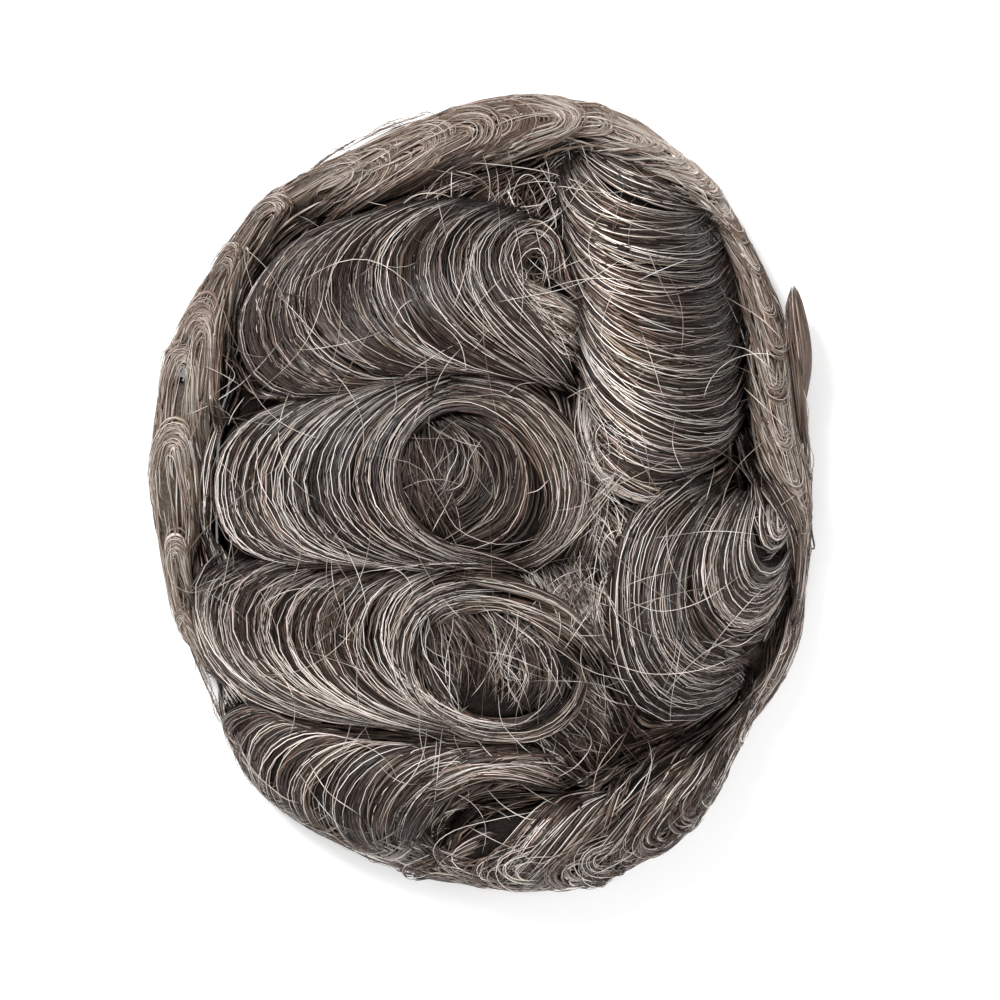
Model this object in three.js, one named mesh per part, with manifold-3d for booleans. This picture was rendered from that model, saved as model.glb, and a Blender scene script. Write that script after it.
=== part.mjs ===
// Hairpiece for the top of the head: a thin domed base that lies on the scalp, an under layer of
// short hair on it, and the set locks of hair that lie on the under layer and hang over its rim.
// Millimetres. +Z is up, +Y is the back of the head and -Y the front hairline. The rim stands on
// z = 0, and the origin is the centre of the footprint. Left and right are as seen from above with
// the back of the head at the top.
import * as THREE from "three";
import { mergeVertices } from "three/addons/utils/BufferGeometryUtils.js";
import Module from "manifold-3d";

const wasm = await Module();
wasm.setup();

// ---- driving dimensions ----
const HAIR_HEIGHT = 69; // top of the smooth envelope of the hair over the crown
const RIM_INSET = 21; // the inside of the base lies this far inside the hair's outline
const BASE_HEIGHT = 53; // inside height of the base, from its rim to its top
const BASE_WALL = 1.2;
const UNDER_LAYER = 6; // thickness of the under layer
const GAP = 0.35; // clear gap that touching pieces keep
const ROLL_POWER = 3; // how square a lock's crowned section is
const OVERHANG_Z = 19; // a top lock that reaches past the under layer ends at this height
const TUCK_Z = 10; // height of the widest point of the hair that hangs over the rim
const TUCK_IN = 3.5; // how far the ends turn in below it
const FOOT_REACH = 14; // how far the foot of a rim lock reaches in, until it meets the under layer
const FOOT_TOP = 16.4; // height of that foot, below the top locks
const TUFT_LOW = 9; // the tuft at the side spans these heights
const TUFT_HIGH = 25;
const AROUND = 44; // facets round the base
const RISE = 8; // facets from its rim to its top
const ACROSS = 7; // facets across a lock
const MERGE_MM = 0.01; // vertices of a cut piece closer than this are one
const STEPS = 1.7; // sections of a lock for each row of its table

// Outline of the hair seen from above, smoothed: its radius goes round as
// MEAN + SHIFT cos(azimuth) + OVAL cos(2 azimuth) + LEAN sin(2 azimuth).
const OUTLINE_MEAN = 104.0;
const OUTLINE_SHIFT = 3.1;
const OUTLINE_OVAL = -10.1;
const OUTLINE_LEAN = 0.8;

// Locks: a row for each section along the lock.
// Columns: ax, ay and bx, by are the two edges of the section seen from above, lift is how far its
// crest stands above the smooth envelope, and sink how far its edges dip below it.
// On a top lock both edges lie on the under layer. On a rim lock a is the inner edge and b the
// outer one, which comes down to z = 0.
const LOCKS = {
  crown_curl: [
    [ -69.9,   40.0,  -69.3,   49.2,  0.0,  2.0],
    [ -67.0,   32.5,  -65.3,   58.9,  1.0,  4.0],
    [ -54.9,   25.9,  -54.6,   71.9,  3.0,  5.0],
    [ -40.5,   29.3,  -40.5,   77.9,  4.0,  5.0],
    [ -25.6,   33.3,  -24.4,   82.5,  4.0,  5.0],
    [ -10.6,   37.1,   -8.9,   83.9,  3.0,  5.0],
    [   5.5,   33.6,    5.5,   81.4,  2.0,  5.0],
    [  17.8,   30.8,   17.0,   71.9,  1.0,  4.0],
    [  23.6,   29.3,   22.1,   58.4,  0.0,  4.0],
    [  25.6,   29.0,   24.7,   42.5, -1.0,  3.0],
  ],
  middle_curl: [
    [ -77.0,   -7.8,  -77.3,   11.8,  0.0,  2.0],
    [ -72.7,  -14.9,  -72.4,   21.6,  1.0,  4.0],
    [ -63.0,  -18.1,  -63.0,   23.6,  3.0,  5.0],
    [ -52.0,  -19.8,  -52.0,   22.7,  4.0,  5.0],
    [ -37.7,  -20.7,  -39.1,   26.4,  4.0,  5.0],
    [ -23.3,  -20.1,  -24.7,   30.2,  4.0,  5.0],
    [  -8.9,  -19.5,   -9.5,   33.9,  4.0,  5.0],
    [   5.5,  -20.4,    5.5,   30.8,  3.0,  5.0],
    [  18.4,  -19.8,   18.4,   27.6,  2.0,  5.0],
    [  27.0,  -12.1,   25.6,   25.6,  1.0,  4.0],
    [  31.9,   -0.6,   30.2,   19.8, -1.0,  3.0],
  ],
  lower_curl: [
    [ -79.9,  -37.1,  -80.2,  -21.0,  0.0,  2.0],
    [ -77.0,  -48.0,  -77.3,  -17.0,  1.0,  4.0],
    [ -66.4,  -56.1,  -67.8,  -20.1,  3.0,  5.0],
    [ -54.9,  -61.2,  -54.9,  -22.1,  4.0,  5.0],
    [ -40.5,  -64.7,  -40.5,  -23.3,  4.0,  5.0],
    [ -24.7,  -66.7,  -24.7,  -22.7,  4.0,  5.0],
    [  -8.9,  -67.8,  -10.3,  -22.4,  4.0,  5.0],
    [   5.5,  -67.8,    5.5,  -23.3,  3.0,  5.0],
    [  18.4,  -64.1,   18.4,  -27.0,  2.0,  5.0],
    [  27.0,  -56.6,   27.9,  -34.8,  0.0,  4.0],
    [  31.3,  -49.7,   32.8,  -43.1, -1.0,  3.0],
  ],
  right_roll: [
    [  22.7,   92.9,   49.2,   87.7, -1.0,  3.0],
    [  21.6,   84.2,   63.8,   76.2,  1.0,  4.0],
    [  24.4,   72.7,   68.7,   66.1,  3.0,  5.0],
    [  27.6,   59.8,   71.3,   52.6,  4.0,  5.0],
    [  28.7,   46.9,   73.3,   39.7,  4.0,  5.0],
    [  29.0,   32.5,   74.8,   26.7,  4.0,  5.0],
    [  30.8,   21.0,   75.0,   15.2,  3.0,  5.0],
    [  34.2,   10.9,   67.6,    8.6,  1.0,  4.0],
    [  40.0,    3.7,   59.5,    6.3, -1.0,  3.0],
  ],
  right_curl: [
    [  57.8,    3.2,   66.4,   -1.4, -1.0,  2.0],
    [  45.7,   -2.0,   60.1,  -10.1,  1.0,  4.0],
    [  39.4,  -13.5,   57.2,  -19.8,  3.0,  5.0],
    [  36.5,  -27.9,   56.3,  -34.2,  4.0,  5.0],
    [  35.9,  -42.3,   60.1,  -45.1,  4.0,  5.0],
    [  39.4,  -56.6,   66.4,  -50.9,  3.0,  5.0],
    [  50.0,  -65.8,   73.0,  -53.8,  2.0,  5.0],
    [  63.0,  -65.3,   77.3,  -52.0,  0.0,  4.0],
    [  71.0,  -59.5,   78.8,  -50.3, -1.0,  2.0],
  ],
  right_inner_curl: [
    [  69.3,   -2.0,   76.2,   -0.3, -1.0,  2.0],
    [  63.8,  -10.6,   83.1,   -5.5,  1.0,  4.0],
    [  60.7,  -22.1,   86.8,  -13.5,  3.0,  4.0],
    [  60.1,  -31.6,   86.8,  -25.0,  3.0,  4.0],
    [  63.8,  -41.4,   84.8,  -35.9,  1.0,  4.0],
    [  71.6,  -46.9,   81.9,  -42.8, -1.0,  2.0],
  ],
  front_left_wave: [
    [ -72.2,  -57.2,  -75.3,  -56.6,  0.0,  6.0],
    [ -67.3,  -60.4,  -74.5,  -67.0,  1.0,  7.0],
    [ -54.9,  -65.8,  -66.4,  -83.1,  2.0,  8.0],
    [ -40.5,  -69.6,  -53.2,  -94.6,  3.0,  8.0],
    [ -24.7,  -71.6,  -37.7, -102.3,  3.0,  8.0],
    [  -8.9,  -72.2,  -21.8, -106.1,  3.0,  8.0],
    [   3.2,  -72.4,   -9.5,  -90.6,  3.0,  8.0],
    [  14.7,  -73.3,    6.0,  -84.2,  2.0,  7.0],
    [  26.7,  -76.2,   24.1,  -83.7,  0.0,  5.0],
  ],
  front_roll: [
    [  -9.8,  -99.8,  -14.1, -110.4,  0.0,  6.0],
    [  -2.0,  -91.7,   -3.2, -113.0,  2.0,  7.0],
    [   8.3,  -88.5,   11.2, -114.4,  3.0,  7.0],
    [  21.3,  -88.0,   25.6, -113.6,  3.0,  7.0],
    [  31.9,  -88.3,   35.9, -111.0,  0.0,  7.0],
  ],
  front_right_rim: [
    [  34.2,  -85.4,   40.0, -109.5,  0.0,  8.0],
    [  40.5,  -79.1,   52.0, -103.5,  2.0,  8.0],
    [  49.2,  -73.9,   60.7,  -96.9,  3.0,  8.0],
    [  60.1,  -70.4,   67.6,  -87.7,  2.0,  8.0],
    [  69.3,  -65.8,   73.0,  -76.2,  1.0,  7.0],
    [  75.9,  -60.9,   77.6,  -65.8,  0.0,  6.0],
  ],
  right_front_rim: [
    [  77.9,  -57.2,   79.6,  -61.2,  0.0,  5.0],
    [  81.4,  -50.9,   85.7,  -53.8,  1.0,  5.0],
    [  84.8,  -42.3,   90.8,  -42.3,  1.0,  5.0],
    [  88.8,  -30.8,   93.1,  -30.8,  1.0,  5.0],
    [  90.3,  -19.3,   94.3,  -19.3,  0.0,  5.0],
    [  90.8,  -13.5,   94.6,  -13.5,  0.0,  5.0],
  ],
  right_rim: [
    [  71.0,   73.9,   75.0,   76.2,  0.0,  6.0],
    [  74.2,   66.4,   81.1,   65.3,  1.0,  6.0],
    [  76.2,   55.5,   85.4,   54.9,  2.0,  7.0],
    [  77.6,   41.1,   88.8,   41.1,  3.0,  7.0],
    [  77.9,   26.7,   90.6,   26.7,  3.0,  7.0],
    [  79.1,   15.2,   92.3,   15.2,  3.0,  7.0],
    [  80.8,    6.6,   94.9,    3.7,  2.0,  7.0],
    [  87.1,   -2.0,   95.4,   -4.9,  1.0,  6.0],
    [  91.4,   -8.9,   95.2,  -10.6,  0.0,  5.0],
  ],
  back_right_rim: [
    [  26.2,  100.6,   29.0,  111.8,  0.0,  7.0],
    [  34.2,   97.7,   42.8,  106.1,  2.0,  7.0],
    [  48.6,   93.4,   57.8,   97.7,  2.0,  7.0],
    [  60.1,   85.1,   67.8,   88.3,  2.0,  7.0],
    [  69.3,   77.3,   73.6,   78.8,  0.0,  6.0],
  ],
  back_rim: [
    [ -37.1,   82.2,  -39.7,   97.5,  0.0,  7.0],
    [ -26.2,   86.0,  -24.7,  104.4,  2.0,  7.0],
    [ -11.8,   91.1,  -10.3,  110.1,  3.0,  7.0],
    [   2.6,   94.6,    3.2,  113.8,  3.0,  7.0],
    [  14.1,   96.9,   15.5,  114.7,  2.0,  7.0],
    [  23.6,   99.5,   26.4,  112.4,  0.0,  7.0],
  ],
  back_left_rim: [
    [ -75.6,   27.3,  -90.3,   40.2,  0.0,  7.0],
    [ -73.9,   40.5,  -85.4,   52.0,  2.0,  7.0],
    [ -71.6,   53.2,  -78.5,   63.0,  3.0,  7.0],
    [ -66.4,   64.7,  -71.9,   73.3,  3.0,  7.0],
    [ -56.6,   75.6,  -62.4,   85.1,  3.0,  7.0],
    [ -47.1,   80.8,  -52.3,   91.1,  2.0,  7.0],
    [ -39.7,   83.4,  -42.0,   96.6,  0.0,  7.0],
  ],
  left_rim: [
    [ -79.9,  -45.1,  -81.4,  -48.0,  0.0,  4.0],
    [ -83.7,  -34.2,  -87.7,  -37.9,  1.0,  4.0],
    [ -84.5,  -22.1,  -91.4,  -23.6,  1.0,  5.0],
    [ -81.1,  -10.6,  -93.7,  -10.6,  2.0,  7.0],
    [ -79.3,    3.7,  -95.4,    1.7,  3.0,  7.0],
    [ -79.3,   15.2,  -94.6,   15.2,  3.0,  7.0],
    [ -78.2,   24.4,  -92.6,   30.2,  1.0,  7.0],
    [ -77.0,   26.7,  -91.4,   37.7,  0.0,  7.0],
  ],
  right_tuft: [
    [  90.6,   58.6,   91.7,   59.2,  0.0,  0.0],
    [  91.1,   49.7,   94.6,   49.7,  0.0,  0.0],
    [  91.7,   38.2,   95.4,   38.2,  0.0,  0.0],
    [  92.3,   26.7,   94.9,   26.7,  0.0,  0.0],
    [  93.4,   16.4,   94.9,   16.4,  0.0,  0.0],
  ],
};
const TOP_LOCKS = ["crown_curl", "middle_curl", "lower_curl", "right_roll", "right_curl", "right_inner_curl"];
const TUFT = "right_tuft";

// Dents and humps of the surface: a row for each.
// Columns: x, y, radius, height (negative for a dent).
const FOLDS = [
  [-9.0, 10.5, 9, -5.0], // eye of the middle swirl
  [2.0, -50.0, 9, -6.0], // eye of the lower swirl
  [16.0, 62.0, 8, -3.0], // eye of the crown wave
  [-35.0, 56.0, 14, 2.0], // crest of the crown wave
  [-45.0, 3.0, 14, 2.0], // crest of the middle wave
  [-40.0, -42.0, 14, 1.5], // crest of the lower wave
  [52.0, 40.0, 16, 1.5], // crest of the roll
  [64.0, -38.0, 10, -2.0], // eye of the right curl
];

// ---- surfaces ----
const rad = (deg) => (deg * Math.PI) / 180;

// Radius of the smoothed outline at an azimuth in degrees.
function outlineRadius(azimuth) {
  const turn = rad(azimuth);
  return OUTLINE_MEAN + OUTLINE_SHIFT * Math.cos(turn) + OUTLINE_OVAL * Math.cos(2 * turn) + OUTLINE_LEAN * Math.sin(2 * turn);
}

// Height of the smooth envelope of the hair above a point.
function envelope(x, y) {
  const azimuth = (Math.atan2(y, x) * 180) / Math.PI;
  const share = Math.hypot(x, y) / outlineRadius(azimuth);
  let z = HAIR_HEIGHT * Math.sqrt(Math.max(0, 1 - share * share));
  for (const [fx, fy, radius, height] of FOLDS)
    z += height * Math.exp(-((x - fx) ** 2 + (y - fy) ** 2) / (2 * radius * radius));
  return z;
}

// Height of the under layer's top above a point, 0 outside it.
function underTop(x, y) {
  const grow = BASE_WALL + GAP + UNDER_LAYER;
  const share = Math.hypot(x, y) / (outlineRadius((Math.atan2(y, x) * 180) / Math.PI) - RIM_INSET + grow);
  return (BASE_HEIGHT + grow) * Math.sqrt(Math.max(0, 1 - share * share));
}

// Point of the dome that lies `grow` outside the inside of the base: rise runs from 0 at the rim
// to 1 at the top.
function domePoint(azimuth, rise, grow) {
  const r = (outlineRadius(azimuth) - RIM_INSET + grow) * Math.cos(rad(90 * rise));
  return new THREE.Vector3(
    r * Math.cos(rad(azimuth)),
    r * Math.sin(rad(azimuth)),
    (BASE_HEIGHT + grow) * Math.sin(rad(90 * rise)),
  );
}

// ---- solids ----
function geometryOf(points, triangles) {
  const g = new THREE.BufferGeometry().setFromPoints(points);
  let volume = 0;
  for (const [a, b, c] of triangles) volume += points[a].dot(points[b].clone().cross(points[c]));
  g.setIndex(triangles.flatMap(([a, b, c]) => (volume < 0 ? [a, c, b] : [a, b, c])));
  return g;
}

function toSolid(geometry) {
  const bare = new THREE.BufferGeometry().setAttribute("position", geometry.getAttribute("position"));
  bare.setIndex(geometry.index);
  const merged = mergeVertices(bare, 1e-4);
  return new wasm.Manifold(
    new wasm.Mesh({
      numProp: 3,
      vertProperties: merged.attributes.position.array,
      triVerts: new Uint32Array(merged.index.array),
    }),
  );
}

// A cut solid as a geometry whose vertices lie on a grid of MERGE_MM, with the triangles that this
// closes up, and pairs that then lie back to back, left out.
function toGeometry(solid) {
  const mesh = solid.getMesh(),
    places = new Map(),
    points = [],
    faces = new Map();
  const index = Array.from({ length: mesh.vertProperties.length / 3 }, (_, i) => {
    const p = Array.from(mesh.vertProperties.slice(3 * i, 3 * i + 3), (v) => Math.round(v / MERGE_MM));
    const key = p.join();
    if (!places.has(key)) places.set(key, points.push(...p.map((v) => v * MERGE_MM)) / 3 - 1);
    return places.get(key);
  });
  for (let i = 0; i < mesh.triVerts.length; i += 3) {
    const face = Array.from(mesh.triVerts.slice(i, i + 3), (v) => index[v]);
    if (new Set(face).size < 3) continue;
    const key = [...face].sort((p, q) => p - q).join();
    if (faces.has(key)) faces.delete(key);
    else faces.set(key, face);
  }
  return new THREE.BufferGeometry()
    .setAttribute("position", new THREE.BufferAttribute(new Float32Array(points), 3))
    .setIndex([...faces.values()].flat());
}

// Shell between two grown domes, open below. With no inner dome it is filled down to floor.
function dome(outer, inner, floor = 0) {
  const points = [],
    triangles = [];
  const skin = (grow) => {
    const start = points.length;
    for (let j = 0; j < RISE; j++)
      for (let i = 0; i < AROUND; i++) points.push(domePoint((360 * i) / AROUND, j / RISE, grow));
    points.push(new THREE.Vector3(0, 0, BASE_HEIGHT + grow));
    return start;
  };
  const at = (start, i, j) => (j === RISE ? start + AROUND * RISE : start + j * AROUND + (i % AROUND));
  const cover = (start, flip) => {
    for (let j = 0; j < RISE; j++)
      for (let i = 0; i < AROUND; i++) {
        const [a, b, c, d] = [at(start, i, j), at(start, i + 1, j), at(start, i + 1, j + 1), at(start, i, j + 1)];
        triangles.push(flip ? [a, c, b] : [a, b, c]);
        if (j < RISE - 1) triangles.push(flip ? [a, d, c] : [a, c, d]);
      }
  };
  const out = skin(outer);
  cover(out, false);
  if (inner !== null) {
    const within = skin(inner);
    cover(within, true);
    for (let i = 0; i < AROUND; i++) {
      const [a, b, c, d] = [at(out, i, 0), at(out, i + 1, 0), at(within, i + 1, 0), at(within, i, 0)];
      triangles.push([a, c, b], [a, d, c]);
    }
  } else {
    const low = points.length;
    for (let i = 0; i < AROUND; i++) points.push(points[at(out, i, 0)].clone().setZ(floor));
    const centre = points.push(new THREE.Vector3(0, 0, floor)) - 1;
    for (let i = 0; i < AROUND; i++) {
      const k = (i + 1) % AROUND;
      triangles.push([low + i, at(out, k, 0), at(out, i, 0)], [low + i, low + k, at(out, k, 0)], [low + i, centre, low + k]);
    }
  }
  return geometryOf(points, triangles);
}

// Closed loft through rings of equally many points, with a fan on each end.
function loft(rings) {
  const points = rings.flat(),
    count = rings[0].length,
    triangles = [];
  for (let i = 0; i + 1 < rings.length; i++)
    for (let j = 0; j < count; j++) {
      const k = (j + 1) % count;
      const [a, b, c, d] = [i * count + j, i * count + k, (i + 1) * count + k, (i + 1) * count + j];
      triangles.push([a, b, c], [a, c, d]);
    }
  for (const [i, flip] of [
    [0, true],
    [rings.length - 1, false],
  ]) {
    const middle = new THREE.Vector3();
    rings[i].forEach((p) => middle.add(p));
    const centre = points.push(middle.divideScalar(count)) - 1;
    for (let j = 0; j < count; j++) {
      const [a, b] = [i * count + j, i * count + ((j + 1) % count)];
      triangles.push(flip ? [centre, b, a] : [centre, a, b]);
    }
  }
  return geometryOf(points, triangles);
}

// The rows of a table drawn out into more sections, along smooth curves.
function sectionsOf(rows) {
  const a = new THREE.CatmullRomCurve3(rows.map((r) => new THREE.Vector3(r[0], r[1], r[4])), false, "catmullrom", 0.4);
  const b = new THREE.CatmullRomCurve3(rows.map((r) => new THREE.Vector3(r[2], r[3], r[5])), false, "catmullrom", 0.4);
  const count = Math.round((rows.length - 1) * STEPS) + 1;
  return Array.from({ length: count }, (_, i) => {
    const t = i / (count - 1),
      pa = a.getPoint(t),
      pb = b.getPoint(t);
    return { a: new THREE.Vector2(pa.x, pa.y), b: new THREE.Vector2(pb.x, pb.y), lift: pa.z, sink: pb.z };
  });
}

// A lock that lies on the under layer: crowned from edge to edge.
function topLock(rows) {
  return loft(
    sectionsOf(rows).map(({ a, b, lift, sink }) => {
      const ring = [];
      for (let j = 0; j <= ACROSS; j++) {
        const s = 0.5 - 0.5 * Math.cos((Math.PI * j) / ACROSS); // closer together at the edges
        const p = a.clone().lerp(b, s);
        const crown = Math.sqrt(1 - Math.abs(2 * s - 1) ** ROLL_POWER);
        ring.push(new THREE.Vector3(p.x, p.y, envelope(p.x, p.y) - sink + (sink + lift) * crown));
      }
      ring.push(new THREE.Vector3(b.x, b.y, OVERHANG_Z), new THREE.Vector3(a.x, a.y, OVERHANG_Z));
      return ring;
    }),
  );
}

// A lock that hangs over the rim: from its inner edge over a crest and down to the floor, where
// its ends turn in a little. Its foot reaches in to the under layer's side, below the top locks.
function rimLock(rows) {
  const over = [],
    foot = [];
  for (const { a, b, lift, sink } of sectionsOf(rows)) {
    const ring = [],
      out = b.clone().sub(a),
      width = out.length();
    out.normalize();
    const low = Math.max(TUCK_Z, underTop(b.x, b.y) + 1.5); // height of the outer edge
    const shoulder = Math.max(envelope(a.x, a.y), low + 6);
    for (let j = 0; j <= ACROSS; j++) {
      const turn = rad((90 * j) / ACROSS);
      const p = a.clone().addScaledVector(out, width * Math.sin(turn));
      const inner = Math.max(0, 1 - (2.2 * j) / ACROSS) ** 2;
      const z = low + (shoulder - low) * Math.cos(turn) + lift * Math.sin(2 * turn) - sink * (0.35 + 0.65 * inner) * Math.cos(turn);
      ring.push(new THREE.Vector3(p.x, p.y, z));
    }
    const heel = a.clone().addScaledVector(out, Math.max(width - TUCK_IN, 0.4 * width));
    ring.push(new THREE.Vector3(heel.x, heel.y, 0), new THREE.Vector3(a.x, a.y, 0));
    over.push(ring);
    const back = a.clone().addScaledVector(out, -FOOT_REACH),
      front = a.clone().addScaledVector(out, 0.3 * width),
      top = Math.min(FOOT_TOP, ring[0].z - 1);
    foot.push([
      new THREE.Vector3(back.x, back.y, 0),
      new THREE.Vector3(front.x, front.y, 0),
      new THREE.Vector3(front.x, front.y, top),
      new THREE.Vector3(back.x, back.y, top),
    ]);
  }
  return toSolid(loft(over)).add(toSolid(loft(foot)));
}

// The tuft stands out from the side: a flat blade with round edges.
function tuft(rows) {
  return loft(
    sectionsOf(rows).map(({ a, b }, i, all) => {
      const middle = a.clone().add(b).multiplyScalar(0.5),
        half = b.clone().sub(a).multiplyScalar(0.5);
      const t = i / (all.length - 1);
      const centreZ = (TUFT_LOW + TUFT_HIGH) / 2,
        halfZ = ((TUFT_HIGH - TUFT_LOW) / 2) * (0.35 + 0.65 * Math.sin(Math.PI * Math.min(1, 0.15 + 0.7 * t)));
      return Array.from({ length: 8 }, (_, k) => {
        const turn = (2 * Math.PI * k) / 8;
        const p = middle.clone().addScaledVector(half, Math.cos(turn));
        return new THREE.Vector3(p.x, p.y, centreZ + halfZ * Math.sin(turn));
      });
    }),
  );
}

// ---- assembly ----
const hair = (tone) => new THREE.MeshStandardMaterial({ color: tone, roughness: 0.5, metalness: 0 });
const TONES = [0x4f433d, 0x5a4d46, 0x473b36, 0x62554d];
const group = new THREE.Group();

function add(name, geometry, material) {
  const mesh = new THREE.Mesh(geometry, material);
  mesh.name = name;
  group.add(mesh);
}

const underGrow = BASE_WALL + GAP;
add("base_cap", dome(BASE_WALL, 0), new THREE.MeshStandardMaterial({ color: 0xc9a78f, roughness: 0.6, metalness: 0 }));
add("under_layer", dome(underGrow + UNDER_LAYER, underGrow), hair(0x3a302c));

const clear = toSolid(dome(underGrow + UNDER_LAYER + GAP, null, -20));
Object.entries(LOCKS).forEach(([name, rows], i) => {
  const raw = name === TUFT ? toSolid(tuft(rows)) : TOP_LOCKS.includes(name) ? toSolid(topLock(rows)) : rimLock(rows);
  const cut = raw.subtract(clear);
  // what the cut leaves under the under layer's edge is dropped
  const whole = cut.decompose().sort((p, q) => q.volume() - p.volume())[0];
  add(name, toGeometry(whole), hair(TONES[i % TONES.length]));
});

// The footprint's centre is the origin.
const box = new THREE.Box3().setFromObject(group);
group.position.set(-(box.min.x + box.max.x) / 2, -(box.min.y + box.max.y) / 2, 0);

export default group;
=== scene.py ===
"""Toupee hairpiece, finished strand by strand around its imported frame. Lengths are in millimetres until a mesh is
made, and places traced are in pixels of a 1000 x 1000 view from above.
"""

import math

import bpy
import numpy as np
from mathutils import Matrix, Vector
from mathutils.bvhtree import BVHTree


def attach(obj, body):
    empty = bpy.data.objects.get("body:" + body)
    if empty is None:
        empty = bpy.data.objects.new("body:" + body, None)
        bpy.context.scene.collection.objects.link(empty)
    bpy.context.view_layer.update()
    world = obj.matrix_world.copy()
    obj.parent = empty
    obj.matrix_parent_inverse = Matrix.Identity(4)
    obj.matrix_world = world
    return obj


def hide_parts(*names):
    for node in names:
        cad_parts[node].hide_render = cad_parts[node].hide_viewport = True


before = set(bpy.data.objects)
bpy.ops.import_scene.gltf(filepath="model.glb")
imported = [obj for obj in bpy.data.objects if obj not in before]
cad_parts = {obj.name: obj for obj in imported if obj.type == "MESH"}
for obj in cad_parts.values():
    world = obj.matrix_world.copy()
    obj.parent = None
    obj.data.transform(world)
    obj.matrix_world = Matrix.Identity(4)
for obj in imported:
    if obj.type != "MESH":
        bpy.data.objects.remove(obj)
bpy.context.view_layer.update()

# ---- view from above ----
PIXEL = 0.2875  # mm on the hair for one pixel of the view
ORIGIN_U, ORIGIN_V = 481.0, 493.0  # pixel above the tables' origin
SHIFT = np.array([0.02, -0.19])  # tables' origin to the part's origin
CAMERA_HEIGHT = 4.0  # m
SHARP_HEIGHT = 0.010  # m, height at which a pixel is PIXEL wide

# ---- sizes shared with the frame, mm ----
HAIR_HEIGHT, BASE_HEIGHT, RIM_INSET, UNDER_GROW = 69.0, 53.0, 21.0, 7.55
TUCK_Z, TUCK_IN, FLOOR_CLEAR = 10.0, 3.5, 0.3
OUTLINE = (104.0, 3.1, -10.1, 0.8)  # mean, shift, oval, lean
FOLDS = [  # x, y, radius, height
    (-9.0, 10.5, 9, -5.0), (2.0, -50.0, 9, -6.0), (16.0, 62.0, 8, -3.0), (-35.0, 56.0, 14, 2.0),
    (-45.0, 3.0, 14, 2.0), (-40.0, -42.0, 14, 1.5), (52.0, 40.0, 16, 1.5), (64.0, -38.0, 10, -2.0),
]
# Locks: a row for each section. Columns: the two edges seen from above, in pixels (au, av, bu, bv),
# lift of the crest above the envelope and sink of the edges below it.
TOP_ROWS = {
    "crown_curl": [(238, 354, 240, 322, 0, 2), (248, 380, 254, 288, 1, 4), (290, 403, 291, 243, 3, 5), (340, 391, 340, 222, 4, 5), (392, 377, 396, 206, 4, 5), (444, 364, 450, 201, 3, 5), (500, 376, 500, 210, 2, 5), (543, 386, 540, 243, 1, 4), (563, 391, 558, 290, 0, 4), (570, 392, 567, 345, -1, 3)],
    "middle_curl": [(213, 520, 212, 452, 0, 2), (228, 545, 229, 418, 1, 4), (262, 556, 262, 411, 3, 5), (300, 562, 300, 414, 4, 5), (350, 565, 345, 401, 4, 5), (400, 563, 395, 388, 4, 5), (450, 561, 448, 375, 4, 5), (500, 564, 500, 386, 3, 5), (545, 562, 545, 397, 2, 5), (575, 535, 570, 404, 1, 4), (592, 495, 586, 424, -1, 3)],
    "lower_curl": [(203, 622, 202, 566, 0, 2), (213, 660, 212, 552, 1, 4), (250, 688, 245, 563, 3, 5), (290, 706, 290, 570, 4, 5), (340, 718, 340, 574, 4, 5), (395, 725, 395, 572, 4, 5), (450, 729, 445, 571, 4, 5), (500, 729, 500, 574, 3, 5), (545, 716, 545, 587, 2, 5), (575, 690, 578, 614, 0, 4), (590, 666, 595, 643, -1, 3)],
    "right_roll": [(560, 170, 652, 188, -1, 3), (556, 200, 703, 228, 1, 4), (566, 240, 720, 263, 3, 5), (577, 285, 729, 310, 4, 5), (581, 330, 736, 355, 4, 5), (582, 380, 741, 400, 4, 5), (588, 420, 742, 440, 3, 5), (600, 455, 716, 463, 1, 4), (620, 480, 688, 471, -1, 3)],
    "right_curl": [(682, 482, 712, 498, -1, 2), (640, 500, 690, 528, 1, 4), (618, 540, 680, 562, 3, 5), (608, 590, 677, 612, 4, 5), (606, 640, 690, 650, 4, 5), (618, 690, 712, 670, 3, 5), (655, 722, 735, 680, 2, 5), (700, 720, 750, 674, 0, 4), (728, 700, 755, 668, -1, 2)],
    "right_inner_curl": [(722, 500, 746, 494, -1, 2), (703, 530, 770, 512, 1, 4), (692, 570, 783, 540, 3, 4), (690, 603, 783, 580, 3, 4), (703, 637, 776, 618, 1, 4), (730, 656, 766, 642, -1, 2)],
}
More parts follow.
